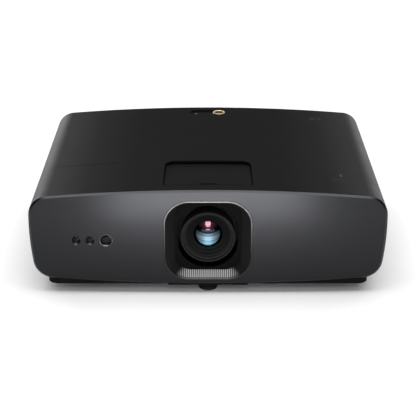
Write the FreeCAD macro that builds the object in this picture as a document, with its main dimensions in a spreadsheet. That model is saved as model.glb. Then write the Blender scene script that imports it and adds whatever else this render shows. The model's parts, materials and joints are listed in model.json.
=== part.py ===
import FreeCAD, Part
import math
import os

import Sketcher
from FreeCAD import Placement, Rotation, Vector

# Home projector, millimetres. +Z up, the lens looks along -Y, +X is on the right of someone facing
# the lens. The origin is under the middle of the housing, on the plane that the three feet stand on.

DRIVING = {
    # housing
    "case_width": 420.5, "case_depth": 312.0, "crown_z": 135.3, "widest_z": 90.0, "belly_z": 15.0,
    "crown_radius": 2300.0, "side_radius": 350.0, "corner_radius": 24.0, "rear_round": 6.0,
    "wall": 2.5, "seam": 0.3, "parting_z": 48.0, "fascia_thick": 3.3, "fascia_bevel": 2.9,
    "fascia_crown_radius": 1500.0,
    "plinth_z": 13.0, "plinth_half": 192.0, "plinth_setback": 6.0, "plinth_corner": 12.0,
    # lens recess
    "lens_z": 70.5, "recess_half": 52.2, "recess_low": 20.5, "recess_high": 122.2, "recess_corner": 30.0,
    "recess_floor_half": 40.0, "recess_floor_low": 25.6, "recess_floor_high": 115.4,
    "recess_floor_corner": 20.0, "recess_depth": 16.0, "trim_width": 1.8, "trim_proud": 0.6,
    "trim_round": 0.8,
    "rib_pitch": 2.35, "rib_thick": 1.1, "rib_proud": 1.1, "port_half": 36.0, "port_low": 30.5,
    "port_high": 110.5,
    # lens
    "barrel_radius": 32.0, "barrel_bore": 29.5, "rear_barrel_radius": 28.0, "rear_barrel_bore": 25.0,
    "front_ring_radius": 32.5, "front_ring_y": -143.5, "glass_radius": 16.8, "ring_inner": 32.5,
    "focus_ring_radius": 36.0, "zoom_ring_radius": 35.5, "cell_radius": 28.9, "zoom_cell_radius": 24.6,
    # lens shift
    "shelf_half": 52.0, "rod_x": 46.0, "rod_radius": 2.0, "cross_rod_radius": 2.5, "fit": 0.05,
    "knob_x": 40.0, "knob_y": -91.0, "knob_radius": 8.0,
    # sliding door over the lens controls
    "door_half": 51.4, "door_front": -135.7, "door_length": 77.5, "door_thick": 2.2, "door_corner": 11.0,
    "door_tilt": 3.0, "door_travel": 46.0, "door_gap": 0.75,
    # front sensor windows
    "sensor_z": 72.4, "sensor_a_x": -155.2, "sensor_b_x": -138.8, "sensor_c_x": -120.0,
    "sensor_radius": 5.4, "sensor_c_radius": 7.2,
    # top rear window and badge
    "pill_half": 24.0, "pill_y": 130.0, "pill_width": 17.6, "badge_radius": 8.3, "badge_x": 15.0,
    # feet
    "front_foot_y": -133.0, "rear_foot_x": 160.0, "rear_foot_y": 118.0, "foot_top_radius": 13.0,
    "foot_pad_radius": 11.5, "foot_stem_radius": 4.0, "boss_radius": 9.0, "boss_step": 22.5,
    "boss_neck_radius": 4.9, "boss_top": 30.0,
    # fans
    "fan_side": 80.0, "fan_thick": 25.0, "fan_bore": 38.4, "fan_hub_radius": 18.0, "fan_blade_radius": 36.6,
    "fan_z": 70.0, "fan_x": 180.0, "intake_y": -20.0, "exhaust_a_y": -60.0, "exhaust_b_y": 32.0,
    # side grilles
    "grille_front": -120.0, "grille_rear": 96.0, "grille_low": 54.0, "grille_high": 102.0,
    "slot_height": 3.2, "slot_pitch": 6.0,
    # rear panel and keypad
    "panel_half": 172.0, "panel_low": 33.0, "panel_high": 110.0, "panel_y": 151.0, "panel_thick": 2.3,
    "key_x": 130.0, "key_z": 82.0, "key_spread": 13.5, "key_radius": 4.4, "key_row_z": 54.0,
    "board_thick": 1.6, "main_board_z": 34.0,
    # ceiling mount
    "mount_spacing_x": 250.0, "mount_spacing_y": 180.0, "mount_hole_radius": 2.0, "mount_depth": 8.0,
}

doc = FreeCAD.newDocument("home_projector")
sheet = doc.addObject("Spreadsheet::Sheet", "Dims")
for row, (alias, number) in enumerate(DRIVING.items(), 1):
    sheet.set(f"A{row}", alias)
    sheet.set(f"B{row}", str(number))
    sheet.setAlias(f"B{row}", alias)
doc.recompute()


class Size:
    """A length that carries both its number and the sheet formula behind it."""

    def __init__(self, number, formula):
        self.number = number
        self.formula = formula

    def _with(self, other, sign, number):
        return Size(number, f"({self.formula} {sign} {as_size(other).formula})")

    def __add__(self, other):
        return self._with(other, "+", self.number + as_size(other).number)

    def __sub__(self, other):
        return self._with(other, "-", self.number - as_size(other).number)

    def __mul__(self, other):
        return self._with(other, "*", self.number * as_size(other).number)

    def __truediv__(self, other):
        return self._with(other, "/", self.number / as_size(other).number)

    def __neg__(self):
        return Size(-self.number, f"(0 - {self.formula})")

    def __radd__(self, other):
        return as_size(other) + self

    def __rsub__(self, other):
        return as_size(other) - self


def as_size(value):
    return value if isinstance(value, Size) else Size(float(value), f"({float(value)})")


class Dimensions:
    """The sheet's cells, read as dims.case_width and so on."""

    def __getattr__(self, alias):
        return Size(float(sheet.get(alias)), f"Dims.{alias}")


dims = Dimensions()
NODES = {}
TURN = {
    "X": Rotation(Vector(0, 1, 0), 90),
    "Y": Rotation(Vector(1, 0, 0), -90),
    "Z": Rotation(),
}


# ---- small vocabulary -------------------------------------------------------------------------

def bind(thing, prop, value):
    """Drive one property by the sheet, or set it where it is a plain number."""
    if isinstance(value, Size):
        thing.setExpression(prop, value.formula)
    elif prop.startswith("Placement.Base"):
        thing.setExpression(prop, str(float(value)))
    else:
        setattr(thing, prop, float(value))


def place(thing, point, rotation=None):
    thing.Placement = Placement(Vector(), rotation or Rotation())
    for letter, value in zip("xyz", point):
        bind(thing, f"Placement.Base.{letter}", value)
    return thing


def block(name, x, y, z):
    """Box between two corners."""
    box = doc.addObject("Part::Box", name)
    for prop, (low, high) in zip(("Length", "Width", "Height"), (x, y, z)):
        bind(box, prop, as_size(high) - as_size(low))
    return place(box, (x[0], y[0], z[0]))


def centred(name, middle, size):
    """Box of a size about its middle."""
    spans = [(as_size(m) - as_size(s) / 2, as_size(m) + as_size(s) / 2) for m, s in zip(middle, size)]
    return block(name, *spans)


def posed(name, x, y, z, frame):
    """Box between two corners of a turned frame."""
    box = doc.addObject("Part::Box", name)
    for prop, (low, high) in zip(("Length", "Width", "Height"), (x, y, z)):
        bind(box, prop, as_size(high) - as_size(low))
    start = Vector(*(as_size(low).number for low, high in (x, y, z)))
    box.Placement = frame.multiply(Placement(start, Rotation()))
    return box


def rod(name, start, axis, radius, length):
    """Cylinder from a point along +X, +Y or +Z."""
    cylinder = doc.addObject("Part::Cylinder", name)
    bind(cylinder, "Radius", radius)
    bind(cylinder, "Height", length)
    return place(cylinder, start, TURN[axis])


def join(name, *parts):
    if len(parts) == 1:
        return parts[0]
    fused = doc.addObject("Part::MultiFuse", name)
    fused.Shapes = list(parts)
    return fused


def group(name, *parts):
    """Several solids kept apart in one object."""
    compound = doc.addObject("Part::Compound", name)
    compound.Links = list(parts)
    return compound


def common(name, *parts):
    shared = doc.addObject("Part::MultiCommon", name)
    shared.Shapes = list(parts)
    return shared


def cut(name, base, *tools, apart=False):
    """Base without the tools. Tools that don't touch each other may stay apart."""
    result = doc.addObject("Part::Cut", name)
    result.Base = base
    if apart and len(tools) > 1:
        result.Tool = group(name + "_tools", *tools)
    else:
        result.Tool = join(name + "_tools", *tools)
    return result


def rounded(name, base, radius, chosen, kind="Part::Fillet"):
    """Fillet or chamfer on the edges that `chosen` accepts."""
    doc.recompute()
    size = as_size(radius).number
    feature = doc.addObject(kind, name)
    feature.Base = base
    feature.Edges = [(i, size, size) for i, edge in enumerate(base.Shape.Edges, 1) if chosen(edge)]
    return feature


def runs_along(axis):
    """Straight edges parallel to an axis."""
    def test(edge):
        box = edge.BoundBox
        spans = {"X": box.XLength, "Y": box.YLength, "Z": box.ZLength}
        across = [span for letter, span in spans.items() if letter != axis]
        return spans[axis] > 1.0 and max(across) < 0.01
    return test


def lies_at_y(level):
    """Edges that lie wholly on the plane y = level."""
    place_y = as_size(level).number

    def test(edge):
        box = edge.BoundBox
        return abs(box.YMin - place_y) < 0.02 and abs(box.YMax - place_y) < 0.02
    return test


def plane(body, role):
    return next(item for item in body.Origin.OriginFeatures if item.Role == role)


def turned(name, start, axis, profile):
    """Body turned about an axis through `start`. Profile points are (radius, way along the axis)."""
    body = doc.addObject("PartDesign::Body", name)
    sketch = body.newObject("Sketcher::SketchObject", name + "_profile")
    sketch.AttachmentSupport = [(plane(body, "XY_Plane"), "")]
    sketch.MapMode = "FlatFace"
    points = [(as_size(u), as_size(v)) for u, v in profile]
    corners = [Vector(u.number, v.number, 0) for u, v in points]
    count = len(corners)
    sketch.addGeometry([Part.LineSegment(corners[i], corners[(i + 1) % count]) for i in range(count)], False)
    for i in range(count):
        sketch.addConstraint(Sketcher.Constraint("Coincident", i, 2, (i + 1) % count, 1))
    for i, (u, v) in enumerate(points):
        for kind, value, tag in (("DistanceX", u, "radius"), ("DistanceY", v, "along")):
            index = sketch.addConstraint(Sketcher.Constraint(kind, -1, 1, i, 1, value.number))
            sketch.renameConstraint(index, f"{tag}_{i}")
            sketch.setExpression(f"Constraints.{tag}_{i}", value.formula)
    doc.recompute()
    revolved = body.newObject("PartDesign::Revolution", name + "_turned")
    revolved.Profile = sketch
    revolved.ReferenceAxis = (plane(body, "Y_Axis"), [""])
    revolved.Angle = 360
    turn = {"X": Rotation(Vector(0, 0, 1), -90), "Y": Rotation(), "Z": Rotation(Vector(1, 0, 0), 90)}
    return place(body, start, turn[axis])


def ring(name, start, axis, outer, inner, length):
    """Plain tube."""
    profile = [(inner, 0), (outer, 0), (outer, length), (inner, length)]
    return turned(name, start, axis, profile)


def node(label, thing):
    """Name a finished sub-part. The label is also its file's name."""
    thing.Label = label
    NODES[label] = thing
    return thing


# ---- shared places ----------------------------------------------------------------------------

half_width = dims.case_width / 2
front_y = -(dims.case_depth / 2)
rear_y = dims.case_depth / 2
cover_front = front_y + dims.fascia_thick + dims.seam
plinth_front = front_y + dims.plinth_setback
floor_z = dims.plinth_z + dims.wall
DEEP = 40.0          # reach of a cutting tool well past what it cuts


# ---- housing ----------------------------------------------------------------------------------

def case_form(name, inset, y0, y1):
    """Solid of the housing's cross-section, pulled in by `inset` all round."""
    reach = as_size(y1) - as_size(y0)
    low_side = half_width - dims.side_radius
    arcs = [
        ("crown", 0, dims.crown_z - dims.crown_radius, dims.crown_radius),
        ("belly", 0, dims.belly_z + dims.crown_radius, dims.crown_radius),
        ("right", low_side, dims.widest_z, dims.side_radius),
        ("left", -low_side, dims.widest_z, dims.side_radius),
    ]
    rods = [rod(f"{name}_{tag}", (x, y0, z), "Y", radius - inset, reach) for tag, x, z, radius in arcs]
    section = common(name + "_section", *rods)
    return rounded(name, section, dims.corner_radius - inset, runs_along("Y"))


def upright_pillow(name, half, low, high, corner, y0, y1):
    """Rounded square across the lens axis, between two depths."""
    slab = block(name + "_slab", (-half, half), (y0, y1), (low, high))
    return rounded(name, slab, corner, runs_along("Y"))


outer_raw = case_form("outer_raw", 0, cover_front, rear_y)
outer_form = rounded("outer_form", outer_raw, dims.rear_round, lies_at_y(rear_y))
inner_raw = case_form("inner_raw", dims.wall, cover_front - 1, rear_y - dims.wall)
inner_form = rounded("inner_form", inner_raw, dims.rear_round - dims.wall, lies_at_y(rear_y - dims.wall))
shell = cut("housing_shell", outer_form, inner_form)


def grille_box(name, side, gap):
    """Space that a side grille fills, on side -1 or +1."""
    x = (half_width - 9, half_width + 2) if side > 0 else (-half_width - 2, -half_width + 9)
    y = (dims.grille_front + gap, dims.grille_rear - gap)
    box = block(name + "_slab", x, y, (dims.grille_low + gap, dims.grille_high - gap))
    return rounded(name, box, 6 - gap, runs_along("X"))


def side_grille(label, side):
    """Louvred part of the side wall, with rows of slots between upright ribs."""
    panel = common(label + "_panel", shell, grille_box(label + "_edge", side, 0.2))
    slots = []
    bays = 4
    bay = (dims.grille_rear - dims.grille_front - 12) / bays
    reach = (half_width - 12, half_width + 4) if side > 0 else (-half_width - 4, -half_width + 12)
    for row in range(7):
        low = dims.grille_low + 4.4 + dims.slot_pitch * row
        for column in range(bays):
            start = dims.grille_front + 6 + bay * column
            span = (start + 1.5, start + bay - 1.5)
            slots.append(block(f"{label}_slot", reach, span, (low, low + dims.slot_height)))
    node(label, cut(label, panel, *slots, apart=True))


def door_space(name, gap, z0, z1):
    """Outline of the door from above, grown by `gap`, square in front and round behind."""
    y0 = dims.door_front - gap
    y1 = dims.door_front + dims.door_length + gap
    slab = block(name + "_slab", (-dims.door_half - gap, dims.door_half + gap), (y0, y1), (z0, z1))
    middle = y0.number + 10

    def behind(edge):
        return runs_along("Z")(edge) and edge.BoundBox.YMin > middle
    return rounded(name, slab, dims.door_corner + gap, behind)


def pill(name, half, width, z0, z1):
    """Round-ended bar along X, seen from above."""
    y = (dims.pill_y - width / 2, dims.pill_y + width / 2)
    slab = block(name + "_slab", (-half, half), y, (z0, z1))
    return rounded(name, slab, width / 2 - 0.05, runs_along("Z"))


def rear_window(name, gap):
    y = (rear_y - 8, rear_y + 2)
    z = (dims.panel_low - gap, dims.panel_high + gap)
    return block(name, (-dims.panel_half - gap, dims.panel_half + gap), y, z)


def top_cover():
    below = block("below_parting", (-220, 220), (-170, 170), (-5, dims.parting_z))
    upper = cut("top_cover_upper", shell, below)
    tools = [
        grille_box("cover_left_window", -1, 0), grille_box("cover_right_window", 1, 0),
        door_space("cover_door_window", dims.door_gap, 120, 140),
        rear_window("cover_rear_window", 0),
        pill("cover_pill_window", dims.pill_half + 0.2, dims.pill_width + 0.4, 120, 140),
    ]
    node("top_cover", cut("top_cover", upper, *tools, apart=True))


def foot_places():
    return [
        ("front", as_size(0), dims.front_foot_y),
        ("rear_left", -dims.rear_foot_x, dims.rear_foot_y),
        ("rear_right", dims.rear_foot_x, dims.rear_foot_y),
    ]


def mount_places():
    """Centres of the four ceiling-mount inserts."""
    half_x = dims.mount_spacing_x / 2
    half_y = dims.mount_spacing_y / 2
    return [(x, y) for x in (-half_x, half_x) for y in (-half_y, half_y)]


BOARD_POSTS = [(-120, 108), (76, 108), (-120, 142), (76, 142)]
SUPPLY_POSTS = [(70, -118), (158, -118), (70, -4), (158, -4)]


def bottom_case():
    """Tray with a flat plinth, bosses for the feet and the ceiling mount, posts for the boards."""
    above = block("above_parting", (-220, 220), (-170, 170), (dims.parting_z, 140))
    lower = cut("bottom_lower", outer_form, above)
    plinth_y = (plinth_front, rear_y - 6)
    plinth_slab = block("plinth_slab", (-dims.plinth_half, dims.plinth_half), plinth_y, (dims.plinth_z, 30))
    plinth = rounded("plinth", plinth_slab, dims.plinth_corner, runs_along("Z"))
    lip_y = (front_y + 4.2, plinth_front + 3.5)
    lip_bar = block("lens_lip_bar", (-48, 48), lip_y, (dims.plinth_z - 1, dims.plinth_z + 1.6))
    lip = rounded("lens_lip", lip_bar, 1.2, runs_along("Y"))
    well_half = dims.plinth_half - dims.wall
    well_y = (cover_front + 6, plinth_y[1] - dims.wall)
    well = block("plinth_well", (-well_half, well_half), well_y, (floor_z, 32))
    blank = join("bottom_blank", lower, plinth, lip)
    tray = cut("bottom_tray", blank, join("bottom_hollow", inner_form, well))
    bosses = []
    for tag, x, y in foot_places():
        start = dims.plinth_z + 0.5
        bosses.append(rod(f"boss_{tag}", (x, y, start), "Z", dims.boss_radius, dims.boss_step - start))
        bosses.append(rod(f"neck_{tag}", (x, y, start), "Z", dims.boss_neck_radius, dims.boss_top - start))
    bosses += [rod("mount_boss", (x, y, dims.plinth_z + 0.5), "Z", 6, 9.6) for x, y in mount_places()]
    bosses += [
        rod("board_post", (x, y, floor_z - 0.5), "Z", 3.4, dims.main_board_z - floor_z + 0.5)
        for x, y in BOARD_POSTS
    ]
    bosses += [
        rod("supply_post", (x, y, floor_z - 0.5), "Z", 3.4, 24 - floor_z + 0.5)
        for x, y in SUPPLY_POSTS
    ]
    solid = join("bottom_solid", tray, *bosses)
    bores = [
        rod(f"bore_{tag}", (x, y, 0), "Z", dims.foot_stem_radius + dims.fit, DEEP)
        for tag, x, y in foot_places()
    ]
    bores += [rod("insert_seat", (x, y, 0), "Z", 3.2, dims.plinth_z + dims.mount_depth + 0.5)
              for x, y in mount_places()]
    vents = []
    for side in (-1, 1):
        for row in range(9):
            low = -40.0 + 6.4 * row
            vents.append(block("floor_slot", (side * 110 - 24, side * 110 + 24), (low, low + 3), (5, 18)))
    window = rear_window("bottom_rear_window", 0)
    node("bottom_case", cut("bottom_case", solid, *bores, *vents, window, apart=True))


def mount_inserts():
    """Threaded brass inserts that a ceiling bracket screws into."""
    inserts = [
        ring("insert", (x, y, dims.plinth_z), "Z", 3.2, dims.mount_hole_radius, dims.mount_depth)
        for x, y in mount_places()
    ]
    node("mount_inserts", group("mount_inserts", *inserts))


def front_fascia():
    """Crowned metal face with a bevel all round, the lens opening and three sensor seats."""
    plate = case_form("fascia_plate", 0, front_y, front_y + dims.fascia_thick)
    bevelled = rounded("fascia_bevelled", plate, dims.fascia_bevel, lies_at_y(front_y), "Part::Chamfer")
    crown_axis = (-220, front_y + dims.fascia_crown_radius, 80)
    crown = rod("fascia_crown", crown_axis, "X", dims.fascia_crown_radius, 440)
    face = common("fascia_face", bevelled, crown)
    opening = upright_pillow("fascia_opening", dims.recess_half + 0.2, dims.recess_low - 0.2,
                             dims.recess_high + 0.2, dims.recess_corner + 0.2, front_y - 5, front_y + 9)
    seats = []
    for tag, x, radius in sensor_places():
        hole = radius - 1.4
        profile = [(0, -1), (radius + 1, -1), (radius, 0.5), (hole, 2.0), (hole, 9), (0, 9)]
        seats.append(turned(f"sensor_seat_{tag}", (x, front_y, dims.sensor_z), "Y", profile))
    node("front_fascia", cut("front_fascia", face, opening, *seats, apart=True))


def sensor_places():
    return [
        ("a", dims.sensor_a_x, dims.sensor_radius),
        ("b", dims.sensor_b_x, dims.sensor_radius),
        ("c", dims.sensor_c_x, dims.sensor_c_radius),
    ]


def rear_ir_window():
    """Pill-shaped dark window let into the top, with a pin-hole light."""
    bar = pill("window_bar", dims.pill_half, dims.pill_width, dims.crown_z - 6, dims.crown_z - 1.9)
    seat = rod("badge_seat", (dims.badge_x, dims.pill_y, dims.crown_z - 3), "Z", dims.badge_radius + 0.15, 4)
    light = rod("light_seat", (-16.6, dims.pill_y, dims.crown_z - 2.6), "Z", 0.9, 4)
    return cut("rear_ir_window", bar, seat, light, apart=True)


def sensor_windows():
    """Dark windows: three domed ones behind the seats in the face and the long one in the top."""
    windows = [rear_ir_window()]
    for tag, x, radius in sensor_places():
        edge = radius - 1.6
        dome = [(0, 1.4), (edge * 0.6, 1.6), (edge, 2.2), (edge, 3.4)]
        flange = [(edge + 1.6, 3.4), (edge + 1.6, 5.4), (0, 5.4)]
        windows.append(turned(f"sensor_window_{tag}", (x, front_y, dims.sensor_z), "Y", dome + flange))
    node("sensor_windows", group("sensor_windows", *windows))


def rounded_wire(half, low, high, corner, y):
    """Rounded square as a wire at one depth, made of four sides and four arcs."""
    sides = []
    middles = [(half - corner, high - corner, 0), (corner - half, high - corner, 90),
               (corner - half, low + corner, 180), (half - corner, low + corner, 270)]
    spots = []
    for x, z, start in middles:
        for angle in (start, start + 45, start + 90):
            bearing = math.radians(angle)
            spots.append(Vector(x + corner * math.cos(bearing), y, z + corner * math.sin(bearing)))
    for i in range(4):
        a, b, c = spots[3 * i:3 * i + 3]
        sides.append(Part.Arc(a, b, c).toShape())
        sides.append(Part.LineSegment(c, spots[(3 * i + 3) % 12]).toShape())
    return Part.Wire(sides)


def funnel(name, grow):
    """Tapered space of the lens recess, grown by `grow`. A loft, so it reads its sizes from the sheet."""
    mouth_y = front_y.number
    floor_y = mouth_y + dims.recess_depth.number
    inset = dims.trim_width.number + 0.2 - grow
    mouth = rounded_wire(dims.recess_half.number - inset, dims.recess_low.number + inset,
                         dims.recess_high.number - inset, dims.recess_corner.number - inset, mouth_y)
    floor = rounded_wire(dims.recess_floor_half.number + grow, dims.recess_floor_low.number - grow,
                         dims.recess_floor_high.number + grow, dims.recess_floor_corner.number + grow,
                         floor_y)
    feature = doc.addObject("Part::Feature", name)
    feature.Shape = Part.makeLoft([mouth, floor], True, True)
    return feature


def trim_band(name, gap, y0):
    """Ring that the trim fills, grown by `gap`."""
    outer = upright_pillow(name + "_outer", dims.recess_half + gap, dims.recess_low - gap,
                           dims.recess_high + gap, dims.recess_corner + gap, y0, front_y + 2.6 + gap)
    inset = dims.trim_width + gap
    inner = upright_pillow(name + "_inner", dims.recess_half - inset, dims.recess_low + inset,
                           dims.recess_high - inset, dims.recess_corner - inset, y0 - 1, front_y + 4)
    return cut(name + "_band", outer, inner)


def lens_surround():
    """Ribbed recess round the lens: tapered walls, a back plate and upright ribs on the lower wall."""
    hollow = funnel("surround_hollow", 0)
    walls = cut("surround_walls", funnel("surround_outer", 2.0), hollow)
    floor_y = front_y + dims.recess_depth
    back = upright_pillow("surround_back", dims.recess_floor_half + 2, dims.recess_floor_low - 2,
                          dims.recess_floor_high + 2, dims.recess_floor_corner + 2, floor_y, floor_y + 2)
    port = upright_pillow("surround_port", dims.port_half, dims.port_low, dims.port_high, 33.0,
                          floor_y - 4, floor_y + 6)
    blades = []
    count = 17
    for i in range(-count, count + 1):
        x = dims.rib_pitch * i
        blades.append(block("rib_blade", (x - dims.rib_thick / 2, x + dims.rib_thick / 2),
                            (front_y + 0.8, floor_y), (dims.recess_low, dims.recess_low + 17)))
    bladed = common("rib_field", group("rib_blades", *blades), hollow)
    ribs = cut("ribs", bladed, funnel("rib_limit", -dims.rib_proud.number))
    walls_and_back = join("surround_shell", walls, back, ribs)
    seat = trim_band("trim_seat", 0.1, front_y - 1)
    node("lens_surround", cut("lens_surround", walls_and_back, port, seat))


def surround_trim():
    """Thin bright ring round the mouth of the recess, rounded in front."""
    trim_front = front_y - dims.trim_proud
    band = trim_band("trim", 0, trim_front)
    node("surround_trim", rounded("trim_rounded", band, dims.trim_round, lies_at_y(trim_front)))


def rear_panel():
    """Socket and keypad panel, seated behind the window in the rear wall."""
    plate = block("panel_plate", (-dims.panel_half - 3, dims.panel_half + 3),
                  (dims.panel_y, dims.panel_y + dims.panel_thick), (dims.panel_low - 3, dims.panel_high + 3))
    reach = (dims.panel_y - 3, dims.panel_y + 8)
    holes = [
        block("socket_hole", (low_x - 0.3, high_x + 0.3), reach, (low_z - 0.3, high_z + 0.3))
        for tag, low_x, high_x, low_z, high_z in SOCKETS
    ]
    holes += [rod("jack_hole", (x, reach[0], z), "Y", 4.3, 11) for x, z in JACKS]
    holes.append(block("inlet_hole", (INLET_X[0] - 0.3, INLET_X[1] + 0.3), reach, (39.7, 62.3)))
    holes += [rod("key_hole", (x, reach[0], z), "Y", dims.key_radius + 0.4, 11) for tag, x, z in key_places()]
    for row in range(5):
        low = 78.0 + 5.6 * row
        starts = (-165, -117, -69, -21, 27)
        holes += [block("panel_slot", (x, x + 42), reach, (low, low + 3.0)) for x in starts]
    node("rear_panel", cut("rear_panel", plate, *holes, apart=True))


INLET_X = (-166, -136)

# Box-shaped sockets on the main board: name, low x, high x, low z, high z.
SOCKETS = [
    ("serial", -118, -88, 35.6, 47.6), ("network", -80, -64, 35.6, 49.2), ("hdmi_a", -56, -41, 35.6, 41.6),
    ("hdmi_b", -32, -17, 35.6, 41.6), ("usb_a", -8, 5, 35.6, 42.4), ("usb_b", 13, 26, 35.6, 42.4),
]
JACKS = [(36, 41.0), (49, 41.0), (62, 41.0)]


def socket_shell(tag, low_x, high_x, low_z, high_z):
    """Metal shell round a tongue, open to the rear."""
    front = dims.panel_y - 13
    back = dims.panel_y + dims.panel_thick + 0.8
    body = block(f"{tag}_body", (low_x, high_x), (front, back), (low_z, high_z))
    if tag == "serial":
        return body
    wall = 0.8
    hollow_x = (low_x + wall, high_x - wall)
    hollow_z = (low_z + wall, high_z - wall)
    shell_box = cut(f"{tag}_shell", body, block(f"{tag}_cavity", hollow_x, (front + 4, back + 2), hollow_z))
    if tag == "network":
        contacts_z = (high_z - 3, high_z)
        contacts = block("network_contacts", (low_x + 3, high_x - 3), (front + 3, back - 4), contacts_z)
        return join("network_shell", shell_box, contacts)
    middle = (low_z + high_z) / 2
    tongue_x = (low_x + 2.6, high_x - 2.6)
    tongue_z = (middle - 0.6, middle + 0.6)
    tongue = block(f"{tag}_tongue", tongue_x, (front + 3, back - 1.5), tongue_z)
    return join(f"{tag}_socket", shell_box, tongue)


def network_socket():
    entry = next(place for place in SOCKETS if place[0] == "network")
    node("network_socket", socket_shell(*entry))


def rear_sockets():
    sockets = [socket_shell(*entry) for entry in SOCKETS if entry[0] != "network"]
    for x, z in JACKS:
        start = dims.panel_y - 13
        barrel = ring("jack_barrel", (x, start + 4, z), "Y", 4.0, 1.8, 13.1)
        base = block("jack_base", (x - 5, x + 5), (start, start + 4), (35.6, 46.4))
        sockets.append(join("jack", barrel, base))
    node("rear_sockets", group("rear_sockets", *sockets))


def ac_inlet():
    """Mains inlet with three blades, open to the rear."""
    left, right = INLET_X
    middle = (left + right) / 2
    body = block("inlet_body", INLET_X, (132, dims.panel_y + dims.panel_thick + 0.8), (40, 62))
    space = block("inlet_space", (left + 3, right - 3), (137, 160), (43, 59))
    cavity = rounded("inlet_cavity", space, 2.5, runs_along("Y"))
    spots = ((middle - 6, 48.5), (middle + 6, 48.5), (middle, 54))
    pins = [centred("inlet_pin", (x, 141, z), (2, 10, 4)) for x, z in spots]
    node("ac_inlet", join("ac_inlet", cut("inlet_shell", body, cavity), *pins))


def door_frame(name, x, along, down):
    """Block in the door's own tilted frame: along the slide and down from its top face."""
    hinge = Vector(0, dims.door_front.number, dims.crown_z.number)
    tilt = Rotation(Vector(1, 0, 0), -dims.door_tilt.number)
    return posed(name, x, along, down, Placement(hinge, tilt))


def lens_door():
    """Door over the lens controls. Its top follows the crown, flush in front and lower behind."""
    slab_down = (-dims.door_thick - 1, 1)
    slab = door_frame("door_slab", (-dims.door_half, dims.door_half), (-1, dims.door_length + 1), slab_down)
    outline = door_space("door_outline", 0, 100, 150)
    tilt = Rotation(Vector(1, 0, 0), -dims.door_tilt.number)
    hinge = Vector(0, dims.door_front.number, dims.crown_z.number)
    skins = []
    for tag, depth in (("top", 0.0), ("under", dims.door_thick.number)):
        drum = doc.addObject("Part::Cylinder", f"door_{tag}")
        bind(drum, "Radius", dims.crown_radius - depth)
        drum.Height = 160
        centre = Placement(Vector(0, -20, -dims.crown_radius.number), TURN["Y"])
        drum.Placement = Placement(hinge, tilt).multiply(centre)
        skins.append(drum)
    body = cut("door_body", common("door_blank", slab, outline, skins[0]), skins[1])
    slot = door_frame("finger_slot", (-11, 11), (0.9, 3.3), (-1.5, 1))
    rib = door_frame("door_pull", (-30, 30), (69, 71), (-4.2, -dims.door_thick - 0.1))
    node("lens_door", join("lens_door", cut("door_slotted", body, slot), rib))


def door_rails():
    """Two ledges under the cover that carry the door over its whole travel."""
    rails = []
    reach = (0, dims.door_length + dims.door_travel + 2.5)
    for side in (-1, 1):
        ledge_x = (47.0, 55.0) if side > 0 else (-55.0, -47.0)
        wall_x = (52.2, 55.0) if side > 0 else (-55.0, -52.2)
        ledge = door_frame("rail_ledge", ledge_x, reach, (-4.9, -3.4))
        wall = door_frame("rail_wall", wall_x, reach, (-3.5, -3.1))
        rails.append(join("rail", ledge, wall))
    node("door_rails", group("door_rails", *rails))


def top_badge():
    """Blank round badge with a dished face."""
    radius = dims.badge_radius
    profile = [(0, 0), (radius, 0), (radius, 1.6), (radius - 0.6, 2.1), (radius - 1.2, 1.7), (0, 1.7)]
    node("top_badge", turned("top_badge", (dims.badge_x, dims.pill_y, dims.crown_z - 3), "Z", profile))


# ---- feet -------------------------------------------------------------------------------------

def feet():
    """Each foot is a pad that keeps still and a threaded knob that turns on it."""
    for tag, x, y in foot_places():
        pad_r = dims.foot_pad_radius
        pad = [
            (0, 0), (pad_r - 1.6, 0), (pad_r - 0.5, 0.5), (pad_r, 1.6), (pad_r, 3.4),
            (2.5, 3.4), (2.5, 8), (0, 8),
        ]
        node(f"{tag}_foot_pad", turned(f"{tag}_foot_pad", (x, y, 0), "Z", pad))
        top = dims.foot_top_radius
        stem = dims.foot_stem_radius
        bore = 2.5 + dims.fit
        stem_end = dims.boss_top - 0.5
        screw = [
            (0, 8.4), (bore, 8.4), (bore, 3.8), (pad_r, 3.8), (top - 0.6, 4.4), (top - 0.8, 10.2),
            (top, 11.0), (top, 11.8), (top - 0.6, 12.4), (stem, 12.4), (stem, stem_end), (0, stem_end),
        ]
        knob = turned(f"{tag}_foot_knob", (x, y, 0), "Z", screw)
        notches = []
        for i in range(16):
            bearing = math.radians(22.5 * i)
            reach = dims.foot_top_radius.number + 0.4
            spot = (x + reach * math.cos(bearing), y + reach * math.sin(bearing), 3)
            notches.append(rod("knob_notch", spot, "Z", 1.5, 11))
        node(f"{tag}_foot_screw", cut(f"{tag}_foot_screw", knob, *notches, apart=True))


# ---- lens and its shift frame -----------------------------------------------------------------

SHIFT_Y = -70.5       # middle of the fixed shift frame's plate
SHELF_Z = 113.5


def shift_base_plate():
    """Fixed frame: back plate with a clearance hole, a lower foot and an upper shelf."""
    half = dims.shelf_half
    plate = block("shift_plate", (-half - 8, half + 8), (-72, -69), (floor_z, SHELF_Z + 4))
    foot = block("shift_foot", (-half, half), (-80, -69), (floor_z, 21))
    shelf = block("shift_shelf", (-half, half), (-99.5, -69), (SHELF_Z, SHELF_Z + 4))
    blank = join("shift_blank", plate, foot, shelf)
    tools = [rod("shift_clearance", (0, -75, dims.lens_z), "Y", 35, 10)]
    for side in (-1, 1):
        knob_spot = (side * dims.knob_x.number, dims.knob_y, 100)
        rod_spot = (side * dims.rod_x.number, -76, 18)
        tools.append(rod("knob_bore", knob_spot, "Z", 2.0 + dims.fit, 30))
        tools.append(rod("rod_seat", rod_spot, "Z", dims.rod_radius, 98))
    node("shift_base_plate", cut("shift_base_plate", blank, *tools, apart=True))


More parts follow.
